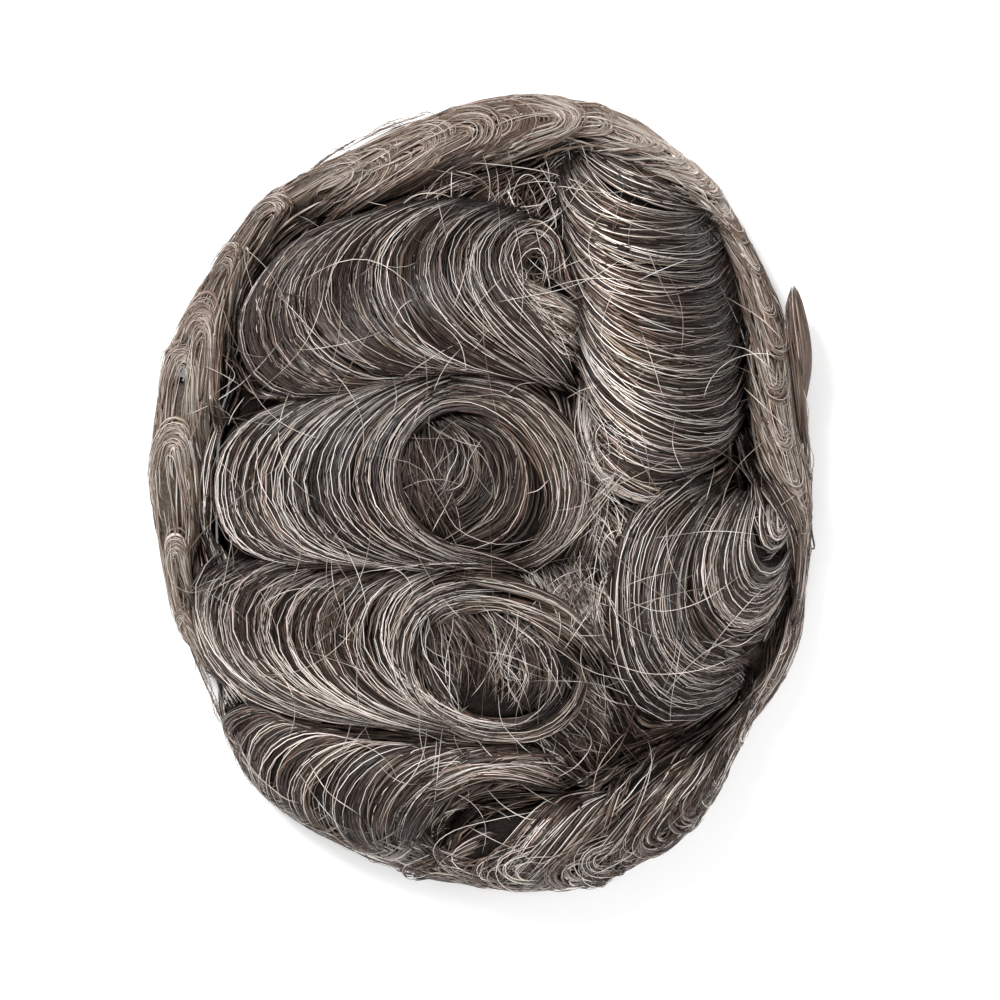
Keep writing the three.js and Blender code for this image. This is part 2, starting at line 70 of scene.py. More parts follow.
RIM_ROWS = {  # a is the inner edge, b the outer one
    "front_left_wave": [(230, 692, 219, 690, 0, 6), (247, 703, 222, 726, 1, 7), (290, 722, 250, 782, 2, 8), (340, 735, 296, 822, 3, 8), (395, 742, 350, 849, 3, 8), (450, 744, 405, 862, 3, 8), (492, 745, 448, 808, 3, 8), (532, 748, 502, 786, 2, 7), (574, 758, 565, 784, 0, 5)],
    "front_roll": [(447, 840, 432, 877, 0, 6), (474, 812, 470, 886, 2, 7), (510, 801, 520, 891, 3, 7), (555, 799, 570, 888, 3, 7), (592, 800, 606, 879, 0, 7)],
    "front_right_rim": [(600, 790, 620, 874, 0, 8), (622, 768, 662, 853, 2, 8), (652, 750, 692, 830, 3, 8), (690, 738, 716, 798, 2, 8), (722, 722, 735, 758, 1, 7), (745, 705, 751, 722, 0, 6)],
    "right_front_rim": [(752, 692, 758, 706, 0, 5), (764, 670, 779, 680, 1, 5), (776, 640, 797, 640, 1, 5), (790, 600, 805, 600, 1, 5), (795, 560, 809, 560, 0, 5), (797, 540, 810, 540, 0, 5)],
    "right_rim": [(728, 236, 742, 228, 0, 6), (739, 262, 763, 266, 1, 6), (746, 300, 778, 302, 2, 7), (751, 350, 790, 350, 3, 7), (752, 400, 796, 400, 3, 7), (756, 440, 802, 440, 3, 7), (762, 470, 811, 480, 2, 7), (784, 500, 813, 510, 1, 6), (799, 524, 812, 530, 0, 5)],
    "back_right_rim": [(572, 143, 582, 104, 0, 7), (600, 153, 630, 124, 2, 7), (650, 168, 682, 153, 2, 7), (690, 197, 717, 186, 2, 7), (722, 224, 737, 219, 0, 6)],
    "back_rim": [(352, 207, 343, 154, 0, 7), (390, 194, 395, 130, 2, 7), (440, 176, 445, 110, 3, 7), (490, 164, 492, 97, 3, 7), (530, 156, 535, 94, 2, 7), (563, 147, 573, 102, 0, 7)],
    "back_left_rim": [(218, 398, 167, 353, 0, 7), (224, 352, 184, 312, 2, 7), (232, 308, 208, 274, 3, 7), (250, 268, 231, 238, 3, 7), (284, 230, 264, 197, 3, 7), (317, 212, 299, 176, 2, 7), (343, 203, 335, 157, 0, 7)],
    "left_rim": [(203, 650, 198, 660, 0, 4), (190, 612, 176, 625, 1, 4), (187, 570, 163, 575, 1, 5), (199, 530, 155, 530, 2, 7), (205, 480, 149, 487, 3, 7), (205, 440, 152, 440, 3, 7), (209, 408, 159, 388, 1, 7), (213, 400, 163, 362, 0, 7)],
}
TUFT_ROWS = [(796, 289, 800, 287), (798, 320, 810, 320), (800, 360, 813, 360), (802, 400, 811, 400), (806, 436, 811, 436)]
TUFT_MIDDLE_Z, TUFT_HALF_Z = 17.0, 7.4


def place(u, v):
    """Millimetres of the tables from a pixel of the view."""
    return (np.asarray(u, float) - ORIGIN_U) * PIXEL, (ORIGIN_V - np.asarray(v, float)) * PIXEL


def table_of(rows):
    r = np.array(rows, float)
    r[:, 0], r[:, 1] = place(r[:, 0], r[:, 1])
    r[:, 2], r[:, 3] = place(r[:, 2], r[:, 3])
    return r


# ---- surfaces ----
def outline_radius(x, y):
    turn = np.arctan2(y, x)
    return OUTLINE[0] + OUTLINE[1] * np.cos(turn) + OUTLINE[2] * np.cos(2 * turn) + OUTLINE[3] * np.sin(2 * turn)


def envelope(x, y):
    share = np.hypot(x, y) / outline_radius(x, y)
    z = HAIR_HEIGHT * np.sqrt(np.maximum(0, 1 - share**2))
    for fx, fy, radius, height in FOLDS:
        z = z + height * np.exp(-((x - fx) ** 2 + (y - fy) ** 2) / (2 * radius**2))
    return z


def under_top(x, y):
    share = np.hypot(x, y) / (outline_radius(x, y) - RIM_INSET + UNDER_GROW)
    return (BASE_HEIGHT + UNDER_GROW) * np.sqrt(np.maximum(0, 1 - share**2))


def curve(rows, at, tension=0.5):
    """Points of the smooth curve through rows, at places counted in rows."""
    rows = np.asarray(rows, float)
    at = np.clip(at, 0, len(rows) - 1)
    ends = np.concatenate([[2 * rows[0] - rows[1]], rows, [2 * rows[-1] - rows[-2]]])
    i = np.clip(np.floor(at).astype(int), 0, len(rows) - 2)
    f = (at - i).reshape(at.shape + (1,) * (rows.ndim - 1))
    p0, p1, p2, p3 = ends[i], ends[i + 1], ends[i + 2], ends[i + 3]
    m1, m2 = tension * (p2 - p0), tension * (p3 - p1)
    return (2 * f**3 - 3 * f**2 + 1) * p1 + (f**3 - 2 * f**2 + f) * m1 + (3 * f**2 - 2 * f**3) * p2 + (f**3 - f**2) * m2


SEAM = 0.62  # the strands fill a seam to this share of its depth
WELLS = [  # places where a seam stays deep: pixel, radius and depth in mm
    (222, 385, 6, 6), (738, 290, 3, 4), (745, 380, 3, 5), (752, 445, 4, 6), (632, 735, 8, 9), (700, 742, 7, 6), (755, 660, 4, 4), (335, 228, 4, 3),
    (395, 200, 4, 3), (520, 180, 5, 3), (555, 188, 5, 4), (765, 480, 5, 5), (462, 818, 6, 5), (205, 545, 4, 3), (566, 300, 2, 2),
]


def tree_of(names):
    """The CAD nodes as one search tree, in mm round the view's middle."""
    verts, faces = [], []
    for name in names:
        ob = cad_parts[name]
        at = len(verts)
        for v in ob.data.vertices:
            w = ob.matrix_world @ v.co * 1000
            verts.append((w.x - SHIFT[0], w.y - SHIFT[1], w.z))
        faces += [[at + i for i in f.vertices] for f in ob.data.polygons]
    return BVHTree.FromPolygons(verts, faces)


def top_of(tree, x, y):
    """Height of a tree seen from above, 0 beside it."""
    hits = [tree.ray_cast(Vector((a + 0.01, b + 0.01, 120.0)), Vector((0, 0, -1)))[0] for a, b in zip(np.ravel(x), np.ravel(y))]
    return np.array([h.z if h else 0.0 for h in hits])


class Ground:
    """Height of the hair as a whole from above, on a grid: skin lies smoothly over the locks and floor is as far down as a seam goes."""

    STEP, REACH, DEEP = 1.0, 8, 3.4

    def __init__(self):
        tree = tree_of(list(TOP_ROWS) + list(RIM_ROWS) + ["under_layer"])
        self.low = np.array([-104.0, -124.0])
        self.size = (int(208 / self.STEP) + 1, int(248 / self.STEP) + 1)
        gx, gy = np.meshgrid(self.low[0] + self.STEP * np.arange(self.size[0]), self.low[1] + self.STEP * np.arange(self.size[1]), indexing="ij")
        z = top_of(tree, gx, gy).reshape(self.size)
        self.solid = z
        self.skin = self.spread(self.spread(z, np.maximum), np.minimum)
        for _ in range(3):
            self.skin = sum(np.roll(self.skin, (a, b), (0, 1)) for a in (-1, 0, 1) for b in (-1, 0, 1)) / 9
        x = self.low[0] + self.STEP * np.arange(self.size[0])[:, None]
        y = self.low[1] + self.STEP * np.arange(self.size[1])[None, :]
        deep = np.full(self.size, self.DEEP)
        for u, v, radius, more in WELLS:
            wx, wy = place(u, v)
            deep = deep + more * np.exp(-((x - wx) ** 2 + (y - wy) ** 2) / (2 * radius**2))
        self.floor = np.maximum(self.skin - deep, under_top(x, y) + 0.5)
        inside = np.hypot(x, y) < outline_radius(x + 1e-6 * y, y) - 4.0
        self.gaps = np.argwhere((self.skin - z > 1.8) & inside & (z > 1))

    def spread(self, z, pick):
        out = z
        for a in range(-self.REACH, self.REACH + 1):
            for b in range(-self.REACH, self.REACH + 1):
                if a * a + b * b <= self.REACH**2:
                    out = pick(out, np.roll(z, (a, b), (0, 1)))
        return out

    def read(self, grid, x, y):
        gx = np.clip((x - self.low[0]) / self.STEP, 0, self.size[0] - 1.001)
        gy = np.clip((y - self.low[1]) / self.STEP, 0, self.size[1] - 1.001)
        i, j = gx.astype(int), gy.astype(int)
        fx, fy = gx - i, gy - j
        return (grid[i, j] * (1 - fx) + grid[i + 1, j] * fx) * (1 - fy) + (grid[i, j + 1] * (1 - fx) + grid[i + 1, j + 1] * fx) * fy

    def points(self, xy, rise):
        x, y = xy[..., 0], xy[..., 1]
        return np.stack([x, y, self.read(self.floor, x, y) + rise], -1)

    def over(self, x, y):
        return self.read(self.skin, x, y)


GROUND = Ground()


class Edge:
    """Round shoulder just inside the outline, for hair that closes the gaps between the rim locks."""

    def points(self, xy, rise):
        x, y = xy[..., 0], xy[..., 1]
        share = np.clip((outline_radius(x, y) - np.hypot(x, y)) / 14.0, 0.0, 1.0)
        z = 9.0 + 25.0 * np.sqrt(1 - (1 - share) ** 2)
        return np.stack([x, y, np.minimum(z, GROUND.over(x, y) + 1.0) + rise], -1)



class TopSurface:
    """Height of a lock on the top, on a grid: crowned inside its edges and falling away outside them."""

    STEP, MARGIN = 0.7, 9.0

    def __init__(self, name, rows, half_width):
        r = curve(table_of(rows), np.linspace(0, len(rows) - 1, 8 * len(rows)), 0.4)
        ring = np.concatenate([r[:, :2], r[::-1, 2:4]])
        self.low = ring.min(0) - self.MARGIN
        self.size = np.ceil((np.ptp(ring, axis=0) + 2 * self.MARGIN) / self.STEP).astype(int) + 1
        x = (self.low[0] + self.STEP * np.arange(self.size[0]))[:, None]
        y = (self.low[1] + self.STEP * np.arange(self.size[1]))[None, :]
        p = np.stack(np.broadcast_arrays(x, y), -1).reshape(-1, 2)
        a, b = ring, np.roll(ring, -1, 0)
        away, inside = np.full(len(p), 1e9), np.zeros(len(p), bool)
        for (ax, ay), (bx, by) in zip(a, b):
            dx, dy = bx - ax, by - ay
            t = np.clip(((p[:, 0] - ax) * dx + (p[:, 1] - ay) * dy) / max(dx * dx + dy * dy, 1e-9), 0, 1)
            away = np.minimum(away, np.hypot(p[:, 0] - ax - t * dx, p[:, 1] - ay - t * dy))
            if ay != by:
                inside ^= ((ay > p[:, 1]) != (by > p[:, 1])) & (p[:, 0] < ax + (p[:, 1] - ay) * dx / dy)
        middle = (r[:, :2] + r[:, 2:4]) / 2
        weight = np.exp(-((p[:, None, :] - middle[None]) ** 2).sum(-1) / (2 * 9.0**2)) + 1e-12
        weight /= weight.sum(1, keepdims=True)
        lift, sink = weight @ r[:, 4], weight @ r[:, 5]
        crown = np.sqrt(1 - (1 - np.clip(away / half_width, 0, 1)) ** 3)
        base = envelope(p[:, 0], p[:, 1])
        sink = SEAM * sink
        z = np.where(inside, base - sink + (sink + lift) * crown, base - sink - 0.7 * away)
        z = np.maximum(z, GROUND.read(GROUND.floor, p[:, 0], p[:, 1]) + 0.4)
        z = np.maximum(z, top_of(tree_of([name]), p[:, 0], p[:, 1]) - 0.2)
        self.z = z.reshape(self.size)
        self.away = np.where(inside, away, -away).reshape(self.size)

    def read(self, grid, x, y):
        gx = np.clip((x - self.low[0]) / self.STEP, 0, self.size[0] - 1.001)
        gy = np.clip((y - self.low[1]) / self.STEP, 0, self.size[1] - 1.001)
        i, j = gx.astype(int), gy.astype(int)
        fx, fy = gx - i, gy - j
        return (grid[i, j] * (1 - fx) + grid[i + 1, j] * fx) * (1 - fy) + (grid[i, j + 1] * (1 - fx) + grid[i + 1, j + 1] * fx) * fy

    def points(self, xy, rise):
        x, y = xy[..., 0], xy[..., 1]
        return np.stack([x, y, self.read(self.z, x, y) + rise], -1)


def even_out(p):
    """Strands with small kinks taken out."""
    q = p.copy()
    q[:, 1:-1] = (p[:, :-2] + 2 * p[:, 1:-1] + p[:, 2:]) / 4
    return q


class RimSurface:
    """Skin of a lock over the rim: along counts mm along the lock, and over runs from 0 at its inner edge to 1 at its widest point and 1.35 on the floor."""

    def __init__(self, rows):
        self.rows = table_of(rows)
        fine = np.linspace(0, len(rows) - 1, 400)
        middle = curve(self.rows, fine, 0.4)
        middle = (middle[:, :2] + middle[:, 2:4]) / 2
        self.row_at = fine
        self.mm_at = np.concatenate([[0], np.cumsum(np.linalg.norm(np.diff(middle, axis=0), axis=1))])
        self.length = self.mm_at[-1]

    def bare(self, along, over):
        r = curve(self.rows, np.interp(along, self.mm_at, self.row_at), 0.4)
        a, b, lift, sink = r[..., :2], r[..., 2:4], r[..., 4], r[..., 5]
        out = b - a
        width = np.linalg.norm(out, axis=-1)
        out = out / width[..., None]
        low = np.maximum(TUCK_Z, under_top(b[..., 0], b[..., 1]) + 1.5)
        shoulder = np.maximum(envelope(a[..., 0], a[..., 1]), low + 6)
        share = np.clip(over, 0, 1)
        turn = share * math.pi / 2
        inner = np.maximum(0, 1 - 2.2 * share) ** 2
        z = low + (shoulder - low) * np.cos(turn) + lift * np.sin(2 * turn) - sink * (0.35 + 0.65 * inner) * np.cos(turn)
        reach = width * np.sin(turn)
        tuck = np.clip((over - 1) / 0.35, 0, 1)
        z = z - tuck * (low - FLOOR_CLEAR)
        reach = reach - TUCK_IN * tuck**1.5
        within = np.clip(-over, 0, 1)
        z, reach = z - 7 * within, reach - 6 * within
        # past the ends of the table the lock runs on straight
        past = np.where(along < 0, along, np.where(along > self.length, along - self.length, 0.0))
        tip = curve(self.rows, np.interp(np.clip(along, 0.5, self.length - 0.5) + 0.5, self.mm_at, self.row_at), 0.4) - curve(self.rows, np.interp(np.clip(along, 0.5, self.length - 0.5) - 0.5, self.mm_at, self.row_at), 0.4)
        tip = tip[..., :2] + tip[..., 2:4]
        tip = tip / np.maximum(np.linalg.norm(tip, axis=-1), 1e-9)[..., None]
        xy = a + out * reach[..., None] + tip * past[..., None]
        z = np.where(over < 0.45, np.maximum(z, GROUND.read(GROUND.floor, xy[..., 0], xy[..., 1])), z)
        return np.concatenate([xy, z[..., None]], -1)

    def points(self, where, rise):
        along, over = where[..., 0], where[..., 1]
        p = self.bare(along, over)
        ds = self.bare(along + 1.0, over) - self.bare(along - 1.0, over)
        dw = self.bare(along, over + 0.03) - self.bare(along, over - 0.03)
        n = np.cross(ds, dw)
        n /= np.maximum(np.linalg.norm(n, axis=-1), 1e-9)[..., None]
        outward = p.copy()
        outward[..., 2] = 40.0
        n *= np.where((n * outward).sum(-1) < 0, -1.0, 1.0)[..., None]
        n = even_out(even_out(even_out(n)))
        n /= np.maximum(np.linalg.norm(n, axis=-1), 1e-9)[..., None]
        p = even_out(even_out(p)) + n * rise[..., None]
        p[..., 2] = np.maximum(p[..., 2], FLOOR_CLEAR + 0.2)
        return p

    def width(self, along):
        r = curve(self.rows, np.interp(along, self.mm_at, self.row_at), 0.4)
        return np.linalg.norm(r[..., 2:4] - r[..., :2], axis=-1)

    def find(self, u, v):
        """(along, over) of pixels of the view."""
        x, y = place(u, v)
        along, over = np.meshgrid(np.linspace(-6, self.length + 6, 240), np.linspace(-0.4, 1.0, 71), indexing="ij")
        q = self.bare(along, over)
        best = np.array([np.argmin((q[..., 0] - px) ** 2 + (q[..., 1] - py) ** 2) for px, py in zip(np.ravel(x), np.ravel(y))])
        found = np.stack([along.ravel()[best], over.ravel()[best]], -1)
        # what lies outside the outline goes on down the outside
        near = q.reshape(-1, 3)[best]
        outside = np.hypot(np.ravel(x) - near[:, 0], np.ravel(y) - near[:, 1])
        found[:, 1] += np.where(found[:, 1] > 0.98, outside / 12.0, 0)
        return found


# ---- strands ----
class Strands:
    """Groups of strands. A group is centre lines, half widths and heights in mm, and tones."""

    def __init__(self):
        self.groups = []

    def add(self, *groups):
        for lines, wide, high, tones in groups:
            if len(lines):
                n = len(lines)
                self.groups.append((np.asarray(lines, float), *(np.broadcast_to(np.asarray(x, float), (n,)).copy() for x in (wide, high, tones))))
        return self

    def count(self):
        return sum(len(g[0]) for g in self.groups)


class Cover:
    """The highest strand in each cell seen from above, to leave out what lies buried under others."""

    STEP = 0.4

    def __init__(self):
        self.low = np.array([-104.0, -124.0])
        self.top = np.full((int(208 / self.STEP) + 1, int(248 / self.STEP) + 1), -1e9)

    def samples(self, lines, wide, high):
        t = np.array([0.0, 1 / 3, 2 / 3])[:, None]
        p = (lines[:, :-1, None] * (1 - t) + lines[:, 1:, None] * t).reshape(len(lines), -1, 3)
        d = np.gradient(p[..., :2], axis=1)
        side = np.stack([-d[..., 1], d[..., 0]], -1)
        side /= np.maximum(np.linalg.norm(side, axis=-1), 1e-9)[..., None]
        off = np.array([-0.75, 0.0, 0.75])[None, None, :, None] * wide[:, None, None, None]
        cell = ((p[:, :, None, :2] + side[:, :, None] * off - self.low) / self.STEP).astype(int)
        z = np.repeat((p[..., 2] + 0.5 * high[:, None])[..., None], 3, axis=2)
        pick = lambda a, k: np.clip(a.reshape(len(lines), -1), 0, self.top.shape[k] - 1)
        return pick(cell[..., 0], 0), pick(cell[..., 1], 1), z.reshape(len(lines), -1)

    def note(self, strands):
        for lines, wide, high, _ in strands.groups:
            i, j, z = self.samples(lines, wide, high)
            np.maximum.at(self.top, (i, j), z)
        return strands

    def seen(self, strands, margin=0.45, least=0.12):
        self.note(strands)
        out = Strands()
        for lines, wide, high, tones in strands.groups:
            i, j, z = self.samples(lines, wide, high)
            keep = (z > self.top[i, j] - margin).mean(1) > least
            out.add((lines[keep], wide[keep], high[keep], tones[keep]))
        print(f"SEEN {out.count()} of {strands.count()}", flush=True)
        return out


def meander(rng, n, points, size, slow=0.9, fast=1.9):
    """Smooth sideways wander along n strands."""
    t = np.linspace(0, 1, points)[None, :]
    a, b = rng.uniform(0, 2 * math.pi, (2, n, 1))
    f, g = rng.uniform(0.4, slow, (n, 1)), rng.uniform(1.2, fast, (n, 1))
    return size * (0.75 * np.sin(2 * math.pi * f * t + a) + 0.35 * np.sin(2 * math.pi * g * t + b)) * rng.uniform(0.4, 1.3, (n, 1))


class Mix:
    """What kinds of strands a group holds: flat bundles of brown hair at the bottom, single brown hairs on them and single grey hairs on top."""

    def __init__(self, rng, count, grey, clump, brown=(0.03, 0.60), bundle=0.50):
        self.bundle = rng.uniform(0, 1, count) < bundle
        self.light = ~self.bundle & (rng.uniform(0, 1, count) < grey / (1 - bundle) * (0.5 + clump))
        low, high = brown
        shade = np.clip(0.50 * rng.uniform(0, 1, count) + 0.50 * clump, 0, 1)
        bright = rng.uniform(0, 1, count) < 0.45
        light = np.where(bright, rng.uniform(0.88, 1.0, count), rng.uniform(0.68, 0.86, count))
        brown_single = low + (high + 0.06 - low) * (0.6 * rng.uniform(0, 1, count) + 0.4 * shade)
        self.tones = np.where(self.light, light, np.where(self.bundle, low + (high - low) * shade, brown_single))
        single = rng.uniform(0.090, 0.130, count)
        self.wide = np.where(self.bundle, rng.uniform(0.38, 0.80, count), np.where(self.light & ~bright, single * 0.9, single * 1.1))
        self.high = np.where(self.bundle, 0.26, self.wide * 1.15)


def family(surface, guides, count, seed, grey=0.3, deep=2.0, clump_mm=3.0, start=(0.0, 0.10), end=(0.80, 1.0), drift=0.022, tight=0.72, wander=0.40, stray=0.03, dive=(1.0, 0.5), lift=0.0, points=12, brown=(0.03, 0.58), bundle=0.50, past=(1.0, 1.6)):
    """Strands that follow guide lines over a surface. guides is a list of lines of pixels of the view. Neighbours gather in clumps that close up towards their tips."""
    rng = np.random.default_rng(seed)
    on_rim = isinstance(surface, RimSurface)
    scale = np.array([1.0, 20.0]) if on_rim else np.ones(2)
    lines = []
    for g in guides:
        g = np.array(g, float)
        g = surface.find(g[:, 0], g[:, 1]) if on_rim else np.stack(place(g[:, 0], g[:, 1]), -1)
        fine = curve(g, np.linspace(0, len(g) - 1, 90))
        mm = np.concatenate([[0], np.cumsum(np.linalg.norm(np.diff(fine * scale, axis=0), axis=1))])
        want = np.linspace(0, mm[-1], 41) if on_rim else np.linspace(-past[0], mm[-1] + past[1], 41)
        line = np.stack([np.interp(want, mm, fine[:, i]) for i in (0, 1)], -1)
        for way, beyond in ((fine[3] - fine[0], np.minimum(want, 0)), (fine[-1] - fine[-4], np.maximum(want - mm[-1], 0))):
            line += beyond[:, None] * way / max(np.linalg.norm(way), 1e-9)
        lines.append(line)
    net = curve(np.array(lines), np.linspace(0, len(lines) - 1, 161))  # 161 x 41 x 2
    # as many strands where the guides lie far apart as where they lie close
    widths = np.linalg.norm(np.diff(net * scale, axis=0), axis=2).mean(1)
    spread = np.concatenate([[0], np.cumsum(widths)])
    across = spread[-1]
    even = lambda x: np.interp(x, spread / across, np.linspace(0, 1, 161))
    clumps = max(3, int(across / clump_mm))
    centre = even((np.arange(clumps) + rng.uniform(0.1, 0.9, clumps)) / clumps)
    own = rng.integers(0, clumps, count)
    mix = Mix(rng, count, grey, rng.uniform(0, 1, clumps)[own], brown, bundle)
    t = np.linspace(0, 1, points)[None, :]
    t0, t1 = rng.uniform(*start, count)[:, None], rng.uniform(*end, count)[:, None]
    at = t0 + (t1 - t0) * t
    close = 1 - tight * np.clip((at - 0.25) / 0.75, 0, 1) ** 1.2
    offset = rng.normal(0, 0.55 / clumps, count)[:, None]
    free = np.where(mix.light, 2.6, 1.0)
    turn = rng.normal(0, drift, count) * free + 1.3 * rng.normal(0, drift, clumps)[own]
    single = mix.light & (rng.uniform(0, 1, count) < 0.65)
    place_of = np.where(single, even(rng.uniform(0, 1, count)), centre[own])
    offset = np.where(single[:, None], 0.0, offset)
    s = place_of[:, None] + offset * close + turn[:, None] * (at - rng.uniform(0.1, 0.9, count)[:, None] * mix.light[:, None])
    far = ~mix.bundle & (rng.uniform(0, 1, count) < stray)
    s = s + np.where(far, rng.normal(0, 0.055, count), 0)[:, None] * (at - 0.3)
    s = np.clip(s, 0, 1)
    gs, gt = s * 159.999, np.clip(at, 0, 1) * 39.999
    i, j = gs.astype(int), gt.astype(int)
    fs, ft = (gs - i)[..., None], (gt - j)[..., None]
    p = (net[i, j] * (1 - fs) + net[i + 1, j] * fs) * (1 - ft) + (net[i, j + 1] * (1 - fs) + net[i + 1, j + 1] * fs) * ft
    side = np.gradient(p * scale, axis=1)
    side = np.stack([-side[..., 1], side[..., 0]], -1)
    side /= np.maximum(np.linalg.norm(side, axis=-1), 1e-9)[..., None]
    p = p + side * (meander(rng, count, points, wander) * (np.where(far, 3.0, 1.0) * np.where(mix.light, 1.3, 0.8))[:, None])[..., None] / scale
    # the bundles lie lowest, the grey hairs on top, and a clump is high in its middle
    ball = np.clip(np.abs(offset[:, 0]) / (1.3 / clumps), 0, 1)
    layer = np.where(mix.bundle, -0.45 - deep * rng.uniform(0, 1, count) ** 1.2, np.where(mix.light, rng.uniform(-0.25, 0.35, count), -0.55 * deep * rng.uniform(0, 1, count)))
    rise = layer - 0.5 * ball**2 + 1.1 * rng.uniform(-1, 0.5, clumps)[own]
    rise = rise[:, None] + meander(rng, count, points, 0.12) + np.where(far, rng.uniform(0.4, 1.6, count), 0)[:, None] + lift
    rise = rise - dive[0] * np.clip(1 - at / 0.10, 0, 1) - dive[1] * np.clip((at - 0.90) / 0.10, 0, 1)
    return surface.points(p, rise), mix.wide, mix.high, mix.tones


def spiral(centre_out, centre_in, rx, ry, scales, turn_from, turn_to, shrink, steps=15):
    """Guide lines of a swirl, in pixels, seen from above. Angles are in degrees, 180 at the left and 90 at the front, and scale falls by shrink along the way."""
    lines = []
    for scale in scales:
        turn = np.radians(np.linspace(turn_from, turn_to, steps))
        k = scale * (1 - shrink * np.linspace(0, 1, steps))
        m = np.clip((k - 0.3) / 0.7, 0, 1)
        cu = centre_in[0] + (centre_out[0] - centre_in[0]) * m
        cv = centre_in[1] + (centre_out[1] - centre_in[1]) * m
        lines.append(np.stack([cu + rx * k * np.cos(turn), cv + ry * k * np.sin(turn)], -1))
    return lines


def tufts(surface, count, seed, direction=1, spacing=12.0, run=20.0, tail=11.0, middle=0.52, lean=0.20, grey=0.2, brown=(0.2, 0.62), edge=0.24, seam=0.10, span=None, deep=0.6, bundle=0.42, uneven=0.9, size=0.42):
    """Hooked tufts of a rim lock: the strands run from the inner seam along the lock, arch over in nested bows round the tuft's eye and hook back along the outside."""
    rng = np.random.default_rng(seed)
    low, high = span or (-4.0, surface.length + 4.0)
    number = max(2, int(round((high - low) / spacing)))
    centre = low + (np.arange(number) + rng.uniform(0.0, 1.0, number)) / number * (high - low) + direction * 3.0
    own = rng.integers(0, number, count)
    t_run, t_mid, t_size, t_high = run * rng.uniform(0.75, 1.25, number), middle + rng.uniform(-0.07, 0.07, number), size * rng.uniform(0.75, 1.15, number), uneven * rng.uniform(-1, 1, number)
    mix = Mix(rng, count, grey, rng.uniform(0, 1, number)[own], brown, bundle)
    mix.tones = mix.tones + np.where(mix.light, 0.3, 1.0) * (0.10 * rng.uniform(-1, 1, number)[own] + 0.09 * rng.uniform(-1, 1, count))
    u = rng.uniform(0, 1, count) ** 0.85
    width = surface.width(centre[own])
    rho = (0.03 + t_size[own] * u) * width
    leg, arc, back = t_run[own] * (0.55 + 0.45 * u) * rng.uniform(0.7, 1.1, count), math.pi * rho * 1.1, tail * rng.uniform(0.2, 1.2, count) * (0.4 + 0.6 * u)
    # most of a strand's points lie in its bow
    step = np.concatenate([np.arange(3) / 3, 1 + np.arange(8) / 8, 2 + np.arange(4) / 3])
    points = len(step)
    s1 = leg[:, None] * np.clip(step, 0, 1)
    phi = math.pi * np.clip(step - 1, 0, 1)[None]
    s3 = back[:, None] * np.clip(step - 2, 0, 1)
    a = s1 - leg[:, None] + 1.35 * rho[:, None] * np.sin(phi) - 0.97 * s3
    q = -rho[:, None] * np.cos(phi) - lean * (leg[:, None] - s1) + 0.22 * s3
    along = (centre[own] + rng.normal(0, 1.3, count))[:, None] + direction * a
    q = t_mid[own][:, None] + q / width[:, None] + rng.normal(0, 0.03, count)[:, None]
    w = np.where(q < 0, 0.6 * q, np.where(q < 0.985, np.arcsin(np.clip(q, 0, 0.985)) * 2 / math.pi, 0.89 + 0.9 * (q - 0.985)))
    w = np.clip(w, -0.25, 1.25)
    # strands that lie along the outside, and along the seam
    kind = rng.uniform(0, 1, count)
    outer, inner = kind < edge, kind > 1 - seam
    w_outer = rng.uniform(0.58, 1.28, count)[:, None] + meander(rng, count, points, 0.05)
    a_outer = rng.uniform(low, high, count)[:, None] + direction * rng.uniform(16, 32, count)[:, None] * (np.linspace(0, 1, points)[None] - 0.4)
    w_inner = rng.uniform(-0.1, 0.55, count)[:, None] + 0.12 * np.linspace(0, 1, points)[None] + meander(rng, count, points, 0.03)
    a_inner = rng.uniform(low, high, count)[:, None] + direction * rng.uniform(16, 32, count)[:, None] * (np.linspace(0, 1, points)[None] - 0.3)
    w = np.where(outer[:, None], w_outer, np.where(inner[:, None], w_inner, w)) + meander(rng, count, points, 0.014)
    along = np.where(outer[:, None], a_outer, np.where(inner[:, None], a_inner, along)) + meander(rng, count, points, 0.35) * np.where(mix.light, 1.5, 1.0)[:, None]
    ends = np.clip(1 - np.abs(along - np.clip(along, low, high)) / 8.0, 0, 1)
    loose = rng.uniform(0.5, 7.0, count)[:, None]
    along = np.clip(along, low - loose, high + loose)
    t = np.linspace(0, 1, points)[None, :]
    layer = np.where(mix.bundle, -0.40 - deep * rng.uniform(0, 1, count) ** 1.2, np.where(mix.light, rng.uniform(-0.2, 0.4, count), -0.5 * deep * rng.uniform(0, 1, count)))
    bow = np.where(outer | inner, -0.2, t_high[own] + 0.1)[:, None] + np.where(outer | inner, 0.0, 1.0)[:, None] * (0.9 * np.sin(math.pi * t) - 0.3 - 0.5 * (1 - u)[:, None])
    rise = layer[:, None] + bow + meander(rng, count, points, 0.12) - 1.0 * np.clip(1 - t / 0.12, 0, 1) - 3.0 * (1 - ends)
    keep = ends.mean(1) > 0.5
    return tuple(x[keep] for x in (surface.points(np.stack([along, w], -1), rise), mix.wide, mix.high, mix.tones))


